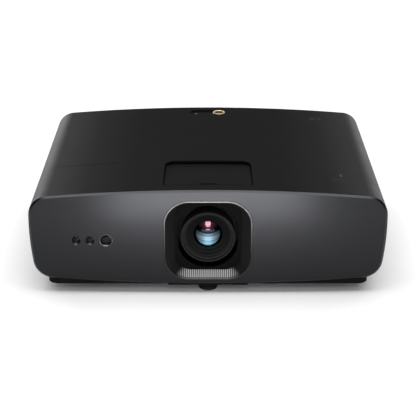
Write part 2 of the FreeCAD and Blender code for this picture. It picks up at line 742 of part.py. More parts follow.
def guide_rods():
    rods = [rod("guide", (side * dims.rod_x.number, -76, 18), "Z", dims.rod_radius, 98) for side in (-1, 1)]
    node("shift_guide_rods", group("shift_guide_rods", *rods))


CROSS_Z = (33.5, 101.5)


def vertical_carriage():
    """Plate that runs on the upright rods and holds the cross rods."""
    plate = block("vertical_plate", (-51, 51), (-79, -73), (27, 107.5))
    ears = []
    for side in (-1, 1):
        x = (46, 50.5) if side > 0 else (-50.5, -46)
        ears += [block("cross_ear", x, (-88, -78), (z - 5, z + 5)) for z in CROSS_Z]
    tools = [rod("vertical_port", (0, -82, dims.lens_z), "Y", 32, 12)]
    tools += [rod("guide_bore", (side * dims.rod_x.number, -76, 10), "Z", dims.rod_radius + dims.fit, 120)
              for side in (-1, 1)]
    tools += [rod("cross_seat", (-49, -84, z), "X", dims.cross_rod_radius, 98) for z in CROSS_Z]
    node("vertical_carriage", cut("vertical_carriage", join("vertical_blank", plate, *ears), *tools))


def cross_rods():
    rods = [rod("cross_rod", (-49, -84, z), "X", dims.cross_rod_radius, 98) for z in CROSS_Z]
    node("shift_cross_rods", group("shift_cross_rods", *rods))


def horizontal_carriage():
    """Plate that runs on the cross rods and carries the lens."""
    plate = block("horizontal_plate", (-42, 42), (-87, -81), (28, 107))
    seat = rod("lens_seat", (0, -90, dims.lens_z), "Y", dims.rear_barrel_radius, 12)
    bores = [rod("cross_bore", (-50, -84, z), "X", dims.cross_rod_radius + dims.fit, 100) for z in CROSS_Z]
    node("horizontal_carriage", cut("horizontal_carriage", plate, seat, *bores, apart=True))


def lens_barrel():
    """Stepped tube of the lens, with a flange against the carriage."""
    outer = dims.barrel_radius
    rear = dims.rear_barrel_radius
    profile = [(dims.barrel_bore, -128.5), (outer, -128.5), (outer, -97), (outer + 3, -97), (outer + 3, -94),
               (rear, -91), (rear, -40), (dims.rear_barrel_bore, -40), (dims.rear_barrel_bore, -102),
               (dims.barrel_bore, -104)]
    node("lens_barrel", turned("lens_barrel", (0, 0, dims.lens_z), "Y", profile))


def lens_front_ring():
    """Front ring with a stepped, dark inner cone that leads to the glass."""
    start = dims.front_ring_y
    outer = dims.front_ring_radius
    profile = [(outer - 0.7, start), (outer, start + 0.7), (outer, -128.5), (dims.barrel_bore, -128.5),
               (dims.barrel_bore, -130.6), (17.3, -130.6), (17.3, -134.2), (20.6, -134.9), (20.6, -136.0),
               (24.0, -136.7), (24.0, -137.9), (27.2, -138.6), (27.2, -139.8), (29.6, -140.6), (30.2, start)]
    node("lens_front_ring", turned("lens_front_ring", (0, 0, dims.lens_z), "Y", profile))


def front_lens():
    """Domed front element."""
    edge = dims.glass_radius
    steps = 7
    dome = []
    sphere = 34.0
    sag = sphere - math.sqrt(sphere ** 2 - 16.8 ** 2)
    for i in range(steps + 1):
        share = i / steps
        drop = sphere - math.sqrt(sphere ** 2 - (16.8 * share) ** 2)
        dome.append((edge * share, -131.2 - sag + drop))
    node("front_lens", turned("front_lens", (0, 0, dims.lens_z), "Y", dome + [(edge, -127.5), (0, -127.5)]))


def focus_cell():
    outer = dims.cell_radius
    profile = [(13, -127.5), (outer, -127.5), (outer, -110), (26, -110), (26, -124.5), (13, -124.5)]
    node("focus_cell", turned("focus_cell", (0, 0, dims.lens_z), "Y", profile))


def zoom_cell():
    """Sliding cell with its own glass group."""
    outer = dims.zoom_cell_radius
    front_glass = [(0, -86), (8, -86.6), (16, -88.4), (21, -90.6)]
    tube = [(21, -92), (outer, -92), (outer, -72), (21, -72)]
    rear_glass = [(21, -78), (14, -76.4), (7, -75.4), (0, -75)]
    profile = front_glass + tube + rear_glass
    node("zoom_cell", turned("zoom_cell", (0, 0, dims.lens_z), "Y", profile))


def grip_ring(name, radius, y0, y1, count):
    """Ring round the barrel with finger grooves."""
    blank = ring(name + "_blank", (0, y0, dims.lens_z), "Y", radius, dims.ring_inner, y1 - y0)
    grooves = []
    for i in range(count):
        bearing = math.radians(360.0 * i / count)
        reach = radius + 0.5
        spot = (reach * math.cos(bearing), y0 + 1.2, dims.lens_z + reach * math.sin(bearing))
        grooves.append(rod(name + "_groove", spot, "Y", 1.3, y1 - y0 - 2.4))
    return cut(name + "_gripped", blank, *grooves, apart=True)


def lens_rings():
    focus = grip_ring("focus_ring", dims.focus_ring_radius, -126.0, -114.0, 40)
    node("focus_ring", focus)
    zoom = grip_ring("zoom_ring", dims.zoom_ring_radius, -111.0, -101.0, 40)
    lever_block = block("zoom_lever_bar", (-3, 3), (-108, -104), (dims.lens_z + 34.2, 122))
    lever = rounded("zoom_lever", lever_block, 1.2, runs_along("Z"))
    node("zoom_ring", join("zoom_ring", zoom, lever))


def shift_knobs():
    for tag, side in (("vertical", 1), ("horizontal", -1)):
        radius = dims.knob_radius
        profile = [(0, 112), (2, 112), (2, 117.8), (radius - 0.8, 117.8), (radius, 118.6), (radius, 126),
                   (radius - 1, 127), (0, 127)]
        blank = turned(f"{tag}_knob_blank", (side * dims.knob_x.number, dims.knob_y, 0), "Z", profile)
        grooves = []
        reach = radius + 0.4
        for i in range(18):
            bearing = math.radians(20.0 * i)
            groove_x = side * dims.knob_x.number + reach * math.cos(bearing)
            groove_y = dims.knob_y + reach * math.sin(bearing)
            grooves.append(rod("knob_groove", (groove_x, groove_y, 118.6), "Z", 0.9, 7.0))
        node(f"{tag}_shift_knob", cut(f"{tag}_shift_knob", blank, *grooves, apart=True))


# ---- light engine -----------------------------------------------------------------------------

ENGINE_X = (-80, 32)
ENGINE_Y = (-34, 56)
ENGINE_Z = (30, 100)
LAMPS = {"red": (-34, 13), "blue": (-58, 13)}      # x and front y of the two rear-facing modules


def engine_housing():
    """Cast tray that holds the optics, on four legs."""
    body = block("engine_body", ENGINE_X, ENGINE_Y, ENGINE_Z)
    inside = block("engine_inside", (ENGINE_X[0] + 3, ENGINE_X[1] - 3), (ENGINE_Y[0] + 3, ENGINE_Y[1] - 3),
                   (ENGINE_Z[0] + 3, ENGINE_Z[1] + 2))
    port = rod("engine_port", (0, ENGINE_Y[0] - 2, dims.lens_z), "Y", 19, 7)
    pipes = [rod("pipe_port", (x, 50, dims.lens_z), "Y", 3.4, 9) for x, y in LAMPS.values()]
    pipes.append(rod("green_pipe_port", (-84, -10, dims.lens_z), "X", 3.4, 9))
    legs = [block("engine_leg", (x, x + 8), (y, y + 8), (floor_z, ENGINE_Z[0] + 1))
            for x in (-78, 22) for y in (-32, 46)]
    node("engine_housing", join("engine_housing", cut("engine_tray", body, inside, port, *pipes), *legs))


def engine_lid():
    top = ENGINE_Z[1]
    plate = block("lid_plate", ENGINE_X, ENGINE_Y, (top, top + 2.5))
    stiffeners = [block("lid_rib", (-70, 22), (y, y + 2), (top + 2, top + 5)) for y in (-20, 10, 40)]
    node("engine_lid", join("engine_lid", plate, *stiffeners))


def led_modules():
    """Copper-based light modules, each with its emitter window."""
    modules = []
    for tag, (x, y) in LAMPS.items():
        base = block(f"{tag}_base", (x - 7, x + 7), (y + 2, y + 8), (60, 81))
        emitter = block(f"{tag}_emitter", (x - 3.5, x + 3.5), (y, y + 2), (67, 74))
        modules.append(join(f"{tag}_module", base, emitter))
    base = block("green_base", (-76, -70), (-20, 0), (60, 81))
    emitter = block("green_emitter", (-70, -68), (-13.5, -6.5), (67, 74))
    modules.append(join("green_module", base, emitter))
    node("led_modules", group("led_modules", *modules))


def engine_lenses():
    """Plano-convex lenses: one for each module and one before the prism."""
    profile = [(0, 0), (4, 0.3), (7, 1.2), (8, 2.0), (8, 3.2), (0, 3.2)]
    return [
        turned("green_lens", (-66, -10, dims.lens_z), "X", profile),
        turned("red_lens", (-34, 8, dims.lens_z), "Y", profile),
        turned("blue_lens", (-58, 8, dims.lens_z), "Y", profile),
        turned("relay_lens", (-23, -10, dims.lens_z), "X", profile),
    ]


def dichroic_mirrors():
    """Two thin plates at 45 degrees that merge the three colours."""
    plates = []
    for x in (-34, -53):
        frame = Placement(Vector(x, -10, dims.lens_z.number), Rotation(Vector(0, 0, 1), 45))
        plates.append(posed("mirror_plate", (-7.5, 7.5), (-0.55, 0.55), (-10, 10), frame))
    return plates


def prism():
    """Two glass wedges with a thin air gap."""
    cube = block("prism_block", (-15, 15), (-22, 4), (57, 84))
    frame = Placement(Vector(0, -9, 70), Rotation(Vector(0, 0, 1), 41))
    gap = posed("prism_gap", (-30, 30), (-0.1, 0.1), (-20, 20), frame)
    return cut("prism", cube, gap)


def engine_optics():
    """All glass of the light engine, each element its own solid."""
    node("engine_optics", group("engine_optics", *engine_lenses(), *dichroic_mirrors(), prism()))


def mirror_chip_board():
    board = block("chip_board", (-26, 26), (8, 8 + dims.board_thick), (45, 97))
    chip = block("chip_package", (-11, 11), (5, 8), (60, 81))
    plug = block("chip_plug", (-18, 18), (4.6, 8), (88, 93))
    node("mirror_chip_board", join("mirror_chip_board", board, chip, plug))


def heatsinks():
    """Finned coolers of the mirror chip and of the light modules."""
    chip_base = block("chip_sink_base", (-20, 20), (9.6, 13), (50, 91))
    chip_fins = [block("chip_fin", (-20 + 4.3 * i, -18.7 + 4.3 * i), (12.8, 34), (50, 91)) for i in range(10)]
    chip_sink = join("chip_sink", chip_base, *chip_fins)
    base = block("led_sink_base", (-76, -14), (60, 64), (44, 98))
    fins = [block("led_fin", (-76 + 4.05 * i, -74.9 + 4.05 * i), (63.8, 96), (44, 98)) for i in range(16)]
    bores = [rod("sink_pipe_bore", (x, 55, dims.lens_z), "Y", 3.0, 45) for x, y in LAMPS.values()]
    led_sink = cut("led_sink", join("led_sink_blank", base, *fins), *bores, apart=True)
    green_base = block("green_sink_base", (-92, -88), (-32, 12), (48, 94))
    green_starts = [-32 + 4.27 * i for i in range(11)]
    green_fins = [block("green_fin", (-116, -91.8), (y, y + 1.3), (48, 94)) for y in green_starts]
    green_bore = rod("green_sink_bore", (-120, -10, dims.lens_z), "X", 3.0, 40)
    green_sink = cut("green_sink", join("green_sink_blank", green_base, *green_fins), green_bore)
    node("heatsinks", group("heatsinks", chip_sink, led_sink, green_sink))


def heat_pipes():
    pipes = [rod("heat_pipe", (x, y + 8, dims.lens_z), "Y", 3.0, 96 - y - 8) for x, y in LAMPS.values()]
    pipes.append(rod("green_heat_pipe", (-116, -10, dims.lens_z), "X", 3.0, 40))
    node("heat_pipes", group("heat_pipes", *pipes))


# ---- fans, boards, loudspeakers ---------------------------------------------------------------

def fan_places():
    """Name, x of the middle, y of the middle and which way the struts face."""
    return [
        ("intake", -dims.fan_x, dims.intake_y, 1),
        ("exhaust_front", dims.fan_x, dims.exhaust_a_y, -1),
        ("exhaust_rear", dims.fan_x, dims.exhaust_b_y, -1),
    ]


def fan_frames():
    frames = []
    for tag, x, y, inward in fan_places():
        size = (dims.fan_thick, dims.fan_side, dims.fan_side)
        slab = centred(f"{tag}_slab", (x, y, dims.fan_z), size)
        body = rounded(f"{tag}_body", slab, 4.0, runs_along("X"))
        bore = rod(f"{tag}_bore", (x - 20, y, dims.fan_z), "X", dims.fan_bore, 40)
        strut_x = x + inward * 10.6
        span = (strut_x - 1.6, strut_x + 1.6)
        bars = [
            block(f"{tag}_bar", span, (y - 39, y + 39), (dims.fan_z - 2, dims.fan_z + 2)),
            block(f"{tag}_bar", span, (y - 2, y + 2), (dims.fan_z - 39, dims.fan_z + 39)),
        ]
        disc = rod(f"{tag}_disc", (span[0], y, dims.fan_z), "X", dims.fan_hub_radius, 3.2)
        frames.append(join(f"{tag}_frame", cut(f"{tag}_ring", body, bore), disc, *bars))
    node("fan_frames", group("fan_frames", *frames))


def fan_rotors():
    """Hub with seven pitched blades."""
    for tag, x, y, inward in fan_places():
        hub = rod(f"{tag}_hub", (x - inward * 2 - 8, y, dims.fan_z), "X", dims.fan_hub_radius, 16)
        centre = Vector(x.number - inward * 2, y.number, dims.fan_z.number)
        blades = []
        for i in range(7):
            spoke = Placement(centre, Rotation(Vector(1, 0, 0), 360.0 * i / 7))
            pitched = spoke.multiply(Placement(Vector(), Rotation(Vector(0, 0, 1), 38)))
            blade_z = (17, dims.fan_blade_radius)
            blades.append(posed(f"{tag}_blade", (-9.5, 9.5), (-0.8, 0.8), blade_z, pitched))
        limit = rod(f"{tag}_limit", (x - inward * 2 - 8, y, dims.fan_z), "X", dims.fan_blade_radius, 16)
        wheel = common(f"{tag}_wheel", join(f"{tag}_blank", hub, *blades), limit)
        node(f"{tag}_fan_rotor", wheel)


def main_board():
    z = dims.main_board_z
    top = z + dims.board_thick
    board = block("main_plate", (-130, 85), (100, 148), (z, top))
    chips = [
        block("main_sink", (-60, -24), (104, 132), (top, top + 9)),
        block("main_chip", (0, 18), (106, 124), (top, top + 2)),
        block("memory_a", (26, 38), (106, 118), (top, top + 1.4)),
        block("memory_b", (26, 38), (121, 133), (top, top + 1.4)),
        block("main_plug", (48, 76), (103, 109), (top, top + 7)),
    ]
    node("main_board", join("main_board", board, *chips))


def power_supply():
    board = block("supply_plate", (62, 166), (-126, 4), (24, 25.6))
    parts = [
        block("transformer", (78, 112), (-72, -36), (25.6, 54)),
        block("choke", (124, 146), (-110, -88), (25.6, 46)),
        block("switch_sink", (74, 116), (-24, -19), (25.6, 58)),
        block("diode_sink", (124, 158), (-60, -56), (25.6, 56)),
        rod("capacitor_a", (88, -98, 25.6), "Z", 11, 32), rod("capacitor_b", (112, -98, 25.6), "Z", 7, 26),
        rod("capacitor_c", (132, -28, 25.6), "Z", 6, 24), rod("capacitor_d", (148, -28, 25.6), "Z", 6, 24),
    ]
    node("power_supply_board", join("power_supply_board", board, *parts))


def speakers():
    """Two boxed loudspeakers, each with its cone facing the side wall."""
    boxes = []
    for side in (-1, 1):
        near, far = sorted((side * 178, side * 202))
        slab = block("speaker_slab", (near, far), (104, 144), (44, 104))
        body = rounded("speaker_box", slab, 4.0, runs_along("X"))
        start = far - 4 if side > 0 else near
        well = rod("speaker_well", (start - 1, 124, 74), "X", 17, 6)
        dome = rod("speaker_dome", (start + (-3 if side > 0 else 3), 124, 74), "X", 6, 4)
        boxes.append(join("speaker", cut("speaker_shell", body, well), dome))
    node("speakers", group("speakers", *boxes))


# ---- keypad -----------------------------------------------------------------------------------

def key_places():
    """Cross of five keys with a row of three below it."""
    spread = dims.key_spread
    return [
        ("ok", dims.key_x, dims.key_z), ("up", dims.key_x, dims.key_z + spread),
        ("down", dims.key_x, dims.key_z - spread), ("left", dims.key_x + spread, dims.key_z),
        ("right", dims.key_x - spread, dims.key_z), ("power", dims.key_x + 18, dims.key_row_z),
        ("menu", dims.key_x, dims.key_row_z), ("source", dims.key_x - 18, dims.key_row_z),
    ]


def keypad():
    for tag, x, z in key_places():
        radius = dims.key_radius
        profile = [(0, 145.6), (1.6, 145.6), (1.6, 147.2), (radius + 0.9, 147.2), (radius + 0.9, 150.7),
                   (radius, 150.7), (radius, 154.2), (radius - 0.5, 154.8), (0, 154.5)]
        node(f"{tag}_button", turned(f"{tag}_button", (x, 0, z), "Y", profile))
    board = block("keypad_plate", (98, 162), (143, 144.6), (44, 102))
    switches = [
        block("switch", (x - 2.5, x + 2.5), (144.5, 144.9), (z - 2.5, z + 2.5))
        for tag, x, z in key_places()
    ]
    node("keypad_board", join("keypad_board", board, *switches))


def case_screws():
    """Flat-headed screws under the plinth that hold the two halves together."""
    screws = []
    for x, y in ((-170, -120), (170, -120), (-170, 0), (170, 0), (-60, 135), (60, 135)):
        profile = [(0, 12.6), (3.0, 12.6), (3.0, 13.0), (0, 13.0)]
        head = turned("case_screw", (x, y, 0), "Z", profile)
        recess = rod("screw_recess", (x, y, 12), "Z", 1.1, 0.85)
        screws.append(cut("case_screw_driven", head, recess))
    node("case_screws", group("case_screws", *screws))


side_grille("left_side_grille", -1)
side_grille("right_side_grille", 1)
top_cover()
bottom_case()
mount_inserts()
front_fascia()
sensor_windows()
lens_surround()
surround_trim()
rear_panel()
network_socket()
rear_sockets()
ac_inlet()
lens_door()
door_rails()
top_badge()
feet()
shift_base_plate()
guide_rods()
vertical_carriage()
cross_rods()
horizontal_carriage()
lens_barrel()
lens_front_ring()
front_lens()
focus_cell()
zoom_cell()
lens_rings()
shift_knobs()
engine_housing()
engine_lid()
led_modules()
engine_optics()
mirror_chip_board()
heatsinks()
heat_pipes()
fan_frames()
fan_rotors()
main_board()
power_supply()
speakers()
keypad()
case_screws()
doc.recompute()

# ---- checks and files -------------------------------------------------------------------------

faults = [f"{item.Label}: {item.State}" for item in doc.Objects if {"Invalid", "Error"} & set(item.State)]
for label, thing in NODES.items():
    shape = thing.Shape
    if shape.isNull() or not shape.isValid() or not shape.Solids:
        faults.append(f"{label}: no valid solid")
if faults:
    raise RuntimeError("; ".join(faults))

os.makedirs("parts", exist_ok=True)
for label, thing in NODES.items():
    thing.Shape.exportStep(f"parts/{label}.step")
    print(f"{label}: {len(thing.Shape.Solids)} solid(s), {thing.Shape.Volume / 1000:.1f} cm3")
print(f"{len(NODES)} sub-parts")
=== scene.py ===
import json
import math

import bmesh
import bpy
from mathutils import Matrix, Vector
from mathutils.bvhtree import BVHTree


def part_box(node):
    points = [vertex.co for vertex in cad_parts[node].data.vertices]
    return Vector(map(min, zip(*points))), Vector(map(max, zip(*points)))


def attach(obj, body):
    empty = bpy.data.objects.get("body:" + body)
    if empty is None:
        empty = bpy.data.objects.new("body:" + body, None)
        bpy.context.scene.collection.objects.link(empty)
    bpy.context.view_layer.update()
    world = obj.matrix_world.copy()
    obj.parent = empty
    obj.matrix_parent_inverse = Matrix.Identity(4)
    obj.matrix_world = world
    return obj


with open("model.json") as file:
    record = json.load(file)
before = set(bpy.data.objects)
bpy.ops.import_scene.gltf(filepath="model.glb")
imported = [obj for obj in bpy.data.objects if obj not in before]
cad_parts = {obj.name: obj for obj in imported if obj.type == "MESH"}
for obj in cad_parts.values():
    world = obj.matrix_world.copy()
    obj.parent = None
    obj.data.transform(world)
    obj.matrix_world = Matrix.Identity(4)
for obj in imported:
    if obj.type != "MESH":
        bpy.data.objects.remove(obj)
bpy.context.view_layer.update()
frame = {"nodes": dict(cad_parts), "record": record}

# Home projector, metres, in the CAD frame: +Z up, the lens looks along -Y.

MM = 0.001
nodes = frame["nodes"]
scene = bpy.context.scene

LENS_Z = 70.5 * MM              # height of the lens axis
LENS_RING = 33 * MM             # radius of the front ring
HALF_WIDTH = 210 * MM           # half the width of the housing
RIB_PITCH = 2.35 * MM           # upright ribs on the lower wall of the lens recess
RIB_THICK = 1.1 * MM
RECESS_HALF = 50 * MM           # half the width of that wall

# The rest are in mm, because the mesh vocabulary below takes mm.
SENSOR_Z = 72.4                 # the three front windows: x, radius, width of the lip
SENSOR_WINDOWS = ((-155.2, 5.4, 0.15), (-138.8, 5.4, 0.15), (-120.0, 7.2, 0.45))
BADGE_RIM = [(8.15, -0.5), (8.15, 0.85), (7.9, 1.12), (7.3, 1.12), (6.6, 0.85), (6.5, -0.5)]
SEAM_START, SEAM_STEP, SEAM_PARTS = -199, 4, 23
SEAM_Y, SEAM_HALF = -60, 0.3
DOOR_GAP = (52.17, 52.75)       # the dark line beside the door, out from the middle
DOOR_GAP_START, DOOR_GAP_STEP, DOOR_GAP_PARTS = -135.2, 3, 22
SLOT_HALF, SLOT_FRONT, SLOT_BACK = 10.95, -134.77, -132.43
SYMBOL_DEPTH = (-0.1, 0.06)     # how far the printed symbols reach into and above the cover
KEYPAD_Y = 153.3                # face of the keypad panel
INDICATOR_Z = 61.5
SERIAL_X, SERIAL_Z, SERIAL_Y = -103, 41.6, 154.1
JACK_XS, JACK_Z = (36, 49, 62), 41.0
UNDERSIDE_Z = 13.0


# ---- shader vocabulary ------------------------------------------------------------------------

class Shader:
    """One node-based material, built from object-space coordinates."""

    def __init__(self, name, color, roughness, metallic=0.0, specular=0.5):
        self.material = bpy.data.materials.new(name)
        self.material.use_nodes = True
        self.tree = self.material.node_tree
        self.bsdf = self.tree.nodes["Principled BSDF"]
        self.place = self.add("ShaderNodeTexCoord").outputs["Object"]
        self.set("Base Color", (*color, 1.0))
        self.set("Roughness", roughness)
        self.set("Metallic", metallic)
        self.set("Specular IOR Level", specular)
        self.height = None

    def add(self, kind, **settings):
        item = self.tree.nodes.new(kind)
        for key, value in settings.items():
            setattr(item, key, value)
        return item

    def set(self, socket, value):
        self.bsdf.inputs[socket].default_value = value

    def link(self, out, into):
        self.tree.links.new(out, into)

    def stretched(self, scale):
        """Object coordinates scaled per axis."""
        mapping = self.add("ShaderNodeMapping")
        mapping.inputs["Scale"].default_value = scale
        self.link(self.place, mapping.inputs["Vector"])
        return mapping.outputs["Vector"]

    def noise(self, scale, detail=3.0, vector=None):
        item = self.add("ShaderNodeTexNoise")
        item.inputs["Scale"].default_value = scale
        item.inputs["Detail"].default_value = detail
        self.link(vector or self.place, item.inputs["Vector"])
        return item.outputs["Fac"]

    def cells(self, scale):
        item = self.add("ShaderNodeTexVoronoi")
        item.inputs["Scale"].default_value = scale
        self.link(self.place, item.inputs["Vector"])
        return item.outputs["Distance"]

    def math(self, operation, *inputs):
        """Arithmetic on sockets and plain numbers."""
        item = self.add("ShaderNodeMath", operation=operation)
        for socket, value in zip(item.inputs, inputs):
            if isinstance(value, (int, float)):
                socket.default_value = value
            else:
                self.link(value, socket)
        return item.outputs["Value"]

    def axes(self, source):
        """The three parts of a vector."""
        item = self.add("ShaderNodeSeparateXYZ")
        self.link(source, item.inputs["Vector"])
        return item.outputs

    def share_of_height(self, low, high):
        """0 at the foot of a box and 1 at its top."""
        return self.math("DIVIDE", self.math("SUBTRACT", self.axes(self.place)["Z"], low.z), high.z - low.z)

    def mixed(self, factor, low, high):
        """Base colour that goes from low, a colour or a socket, to the colour high."""
        item = self.add("ShaderNodeMix", data_type="RGBA")
        self.link(factor, item.inputs["Factor"])
        if isinstance(low, tuple):
            item.inputs["A"].default_value = (*low, 1.0)
        else:
            self.link(low, item.inputs["A"])
        item.inputs["B"].default_value = (*high, 1.0)
        self.link(item.outputs["Result"], self.bsdf.inputs["Base Color"])

    def ramp(self, source, *stops):
        """Remap a value: stops are (position, grey or colour)."""
        item = self.add("ShaderNodeValToRGB")
        while len(item.color_ramp.elements) < len(stops):
            item.color_ramp.elements.new(0.5)
        for element, (position, value) in zip(item.color_ramp.elements, stops):
            element.position = position
            color = value if isinstance(value, tuple) else (value,) * 3
            element.color = (*color, 1.0)
        self.link(source, item.inputs["Fac"])
        return item.outputs["Color"]

    def vary_roughness(self, source, low, high):
        self.link(self.ramp(source, (0.3, low), (0.7, high)), self.bsdf.inputs["Roughness"])

    def vary_color(self, source, low, high):
        self.link(self.ramp(source, (0.3, low), (0.7, high)), self.bsdf.inputs["Base Color"])

    def bump(self, source, strength, distance):
        item = self.add("ShaderNodeBump")
        item.inputs["Strength"].default_value = strength
        item.inputs["Distance"].default_value = distance
        self.link(source, item.inputs["Height"])
        if self.height is not None:
            self.link(self.height, item.inputs["Normal"])
        self.height = item.outputs["Normal"]
        self.link(self.height, self.bsdf.inputs["Normal"])


def moulded(name, tone, roughness, grain=2600.0, depth=0.00006, specular=0.3):
    """Spark-eroded grey or black moulding: a fine pebble and a slightly uneven sheen."""
    shader = Shader(name, (tone, tone, tone * 1.04), roughness, specular=specular)
    shader.vary_roughness(shader.noise(38.0, 5.0), roughness - 0.02, roughness + 0.02)
    shader.vary_color(shader.noise(420.0, 4.0), (tone * 0.85,) * 3, (tone * 1.2, tone * 1.2, tone * 1.24))
    shader.bump(shader.cells(grain), 0.35, depth)
    shader.bump(shader.noise(grain * 0.45, 4.0), 0.25, depth)
    return shader.material


def cover_skin():
    """Black cover with a painted sheen: its shoulders are painted a little paler than its top."""
    shader = Shader("cover_black", (0.006, 0.006, 0.0062), 0.44, specular=0.10)
    # Painted sheen: the tone rises from the middle of the cover out to its shoulders.
    sideways = shader.math("DIVIDE", shader.math("ABSOLUTE", shader.axes(shader.place)["X"]), HALF_WIDTH)
    uneven = shader.math("MULTIPLY_ADD", shader.noise(420.0, 4.0), 0.03, sideways)
    tone = shader.ramp(uneven, (0.45, (0.0054, 0.0054, 0.0056)), (0.70, (0.010, 0.010, 0.0104)),
                       (0.95, (0.026, 0.026, 0.0265)))
    shader.link(tone, shader.bsdf.inputs["Base Color"])
    shader.vary_roughness(shader.noise(38.0, 5.0), 0.42, 0.46)
    shader.bump(shader.cells(2600.0), 0.35, 0.00006)
    shader.bump(shader.noise(1170.0, 4.0), 0.25, 0.00006)
    return shader.material


def lens_finish():
    """Matt black baffles and barrel, with a paler rim on the front ring."""
    shader = Shader("lens_black", (0.0025, 0.0025, 0.0026), 0.45, specular=0.05)
    place = shader.axes(shader.place)
    off_axis = shader.math("SUBTRACT", place["Z"], LENS_Z)
    squares = shader.math("ADD", shader.math("POWER", place["X"], 2.0), shader.math("POWER", off_axis, 2.0))
    outward = shader.math("DIVIDE", shader.math("SQRT", squares), LENS_RING)
    rim = shader.ramp(outward, (0.78, 0.0), (0.86, 1.0))
    shader.mixed(rim, (0.0014, 0.0014, 0.0015), (0.012, 0.012, 0.0123))
    shader.vary_roughness(shader.noise(160.0, 4.0), 0.40, 0.48)
    shader.bump(shader.cells(4200.0), 0.35, 0.00003)
    return shader.material


def fascia_paint():
    """Dark metallic paint: fine flake, painted shade that darkens it towards the bottom, a trace of brushing
    along X.
    """
    shader = Shader("fascia_paint", (0.0298, 0.0302, 0.0328), 0.32, metallic=0.95)
    flake = shader.noise(5200.0, 2.0)
    height = shader.share_of_height(*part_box("front_fascia"))
    # Painted shade: the tone darkens towards the bottom of the fascia, mixed with the flake.
    flake_and_painted_shade = shader.math("MULTIPLY_ADD", flake, 0.10, shader.math("SUBTRACT", height, 0.05))
    tone = shader.ramp(flake_and_painted_shade, (0.0, (0.0195, 0.0198, 0.0215)), (0.42, (0.0245, 0.0249, 0.0270)),
                       (0.75, (0.0300, 0.0304, 0.0330)), (1.0, (0.0320, 0.0325, 0.0353)))
    shader.link(tone, shader.bsdf.inputs["Base Color"])
    shader.vary_roughness(shader.noise(30.0, 4.0, shader.stretched((0.15, 1.0, 1.0))), 0.28, 0.33)
    shader.bump(shader.noise(900.0, 3.0, shader.stretched((0.05, 1.0, 1.0))), 0.06, 0.00003)
    shader.bump(flake, 0.08, 0.00002)
    return shader.material


def recess_liner():
    """Black recess whose lower wall carries pale ribs that fade towards the corners, painted only on faces
    that look up as painted light, with painted shade in the grooves and a painted sheen on the side walls.
    """
    dark = (0.0026, 0.0026, 0.0028)
    bright = (0.62, 0.62, 0.61)
    shader = Shader("recess_liner", dark, 0.55, specular=0.03)
    place = shader.axes(shader.place)
    facing = shader.axes(shader.add("ShaderNodeNewGeometry").outputs["Normal"])
    # Painted light: the pale ribs are painted only on faces that look up.
    upward = shader.ramp(facing["Z"], (0.45, 0.0), (0.8, 1.0))
    sideways = shader.math("ABSOLUTE", place["X"])
    near = shader.ramp(shader.math("DIVIDE", sideways, RECESS_HALF), (0.48, 1.0), (0.78, 0.0))
    # 100.5 keeps the count of ribs above zero and puts a rib on the middle line.
    turns = shader.math("FRACT", shader.math("ADD", shader.math("DIVIDE", place["X"], RIB_PITCH), 100.5))
    off_centre = shader.math("ABSOLUTE", shader.math("SUBTRACT", turns, 0.5))
    half_rib = RIB_THICK / RIB_PITCH / 2
    # Painted shade in the grooves between the ribs.
    rib = shader.ramp(off_centre, (half_rib - 0.02, 1.0), (half_rib + 0.03, 0.16))
    # The pale paint on the ribs ends at 27 to 30 mm, so the edge of the mouth stays dark.
    low = shader.ramp(shader.math("DIVIDE", place["Z"], 100 * MM), (0.27, 1.0), (0.30, 0.0))
    wall = shader.math("MULTIPLY", shader.math("MULTIPLY", upward, near), shader.math("MULTIPLY", rib, low))
    grey = (0.012, 0.012, 0.0124)
    # Painted sheen: walls that face sideways are a paler grey.
    painted_side_sheen = shader.ramp(shader.math("ABSOLUTE", facing["X"]), (0.25, dark), (0.65, grey))
    shader.mixed(wall, painted_side_sheen, bright)
    shader.link(shader.math("MULTIPLY", wall, 0.25), shader.bsdf.inputs["Metallic"])
    shader.vary_roughness(shader.noise(90.0, 4.0), 0.44, 0.54)
    shader.bump(shader.cells(3200.0), 0.3, 0.00005)
    return shader.material


def bright_trim():
    """Satin ring round the recess, with a painted highlight along its top and painted shade towards its foot.
    """
    shader = Shader("trim_silver", (0.14, 0.138, 0.134), 0.26, metallic=1.0)
    height = shader.share_of_height(*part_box("surround_trim"))
    # Painted highlight and shade: paler towards the top, darker towards the foot.
    painted_highlight = shader.ramp(height, (0.30, 0.0), (0.62, 0.35), (0.90, 1.0))
    shader.mixed(painted_highlight, (0.03, 0.03, 0.031), (0.20, 0.198, 0.194))
    shader.vary_roughness(shader.noise(1200.0, 4.0), 0.22, 0.34)
    shader.bump(shader.noise(1500.0, 3.0), 0.05, 0.00002)
    return shader.material


def brushed(name, color, roughness, direction=(1.0, 1.0, 1.0), scale=700.0, bump=0.15):
    """Bare metal with brushing or machining lines."""
    shader = Shader(name, color, roughness, metallic=1.0)
    lines = shader.noise(scale, 4.0, shader.stretched(direction))
    shader.vary_roughness(lines, roughness - 0.06, roughness + 0.1)
    darker = tuple(c * 0.86 for c in color)
    shader.vary_color(shader.noise(24.0, 4.0), darker, color)
    shader.bump(lines, bump, 0.00003)
    return shader.material


def cast(name, color, roughness):
    """Die-cast metal: coarse pebble and a cloudy tone."""
    shader = Shader(name, color, roughness, metallic=0.9)
    shader.vary_roughness(shader.noise(120.0, 5.0), roughness - 0.08, roughness + 0.1)
    shader.vary_color(shader.noise(18.0, 5.0), tuple(c * 0.82 for c in color), color)
    shader.bump(shader.noise(1500.0, 5.0), 0.4, 0.00008)
    return shader.material


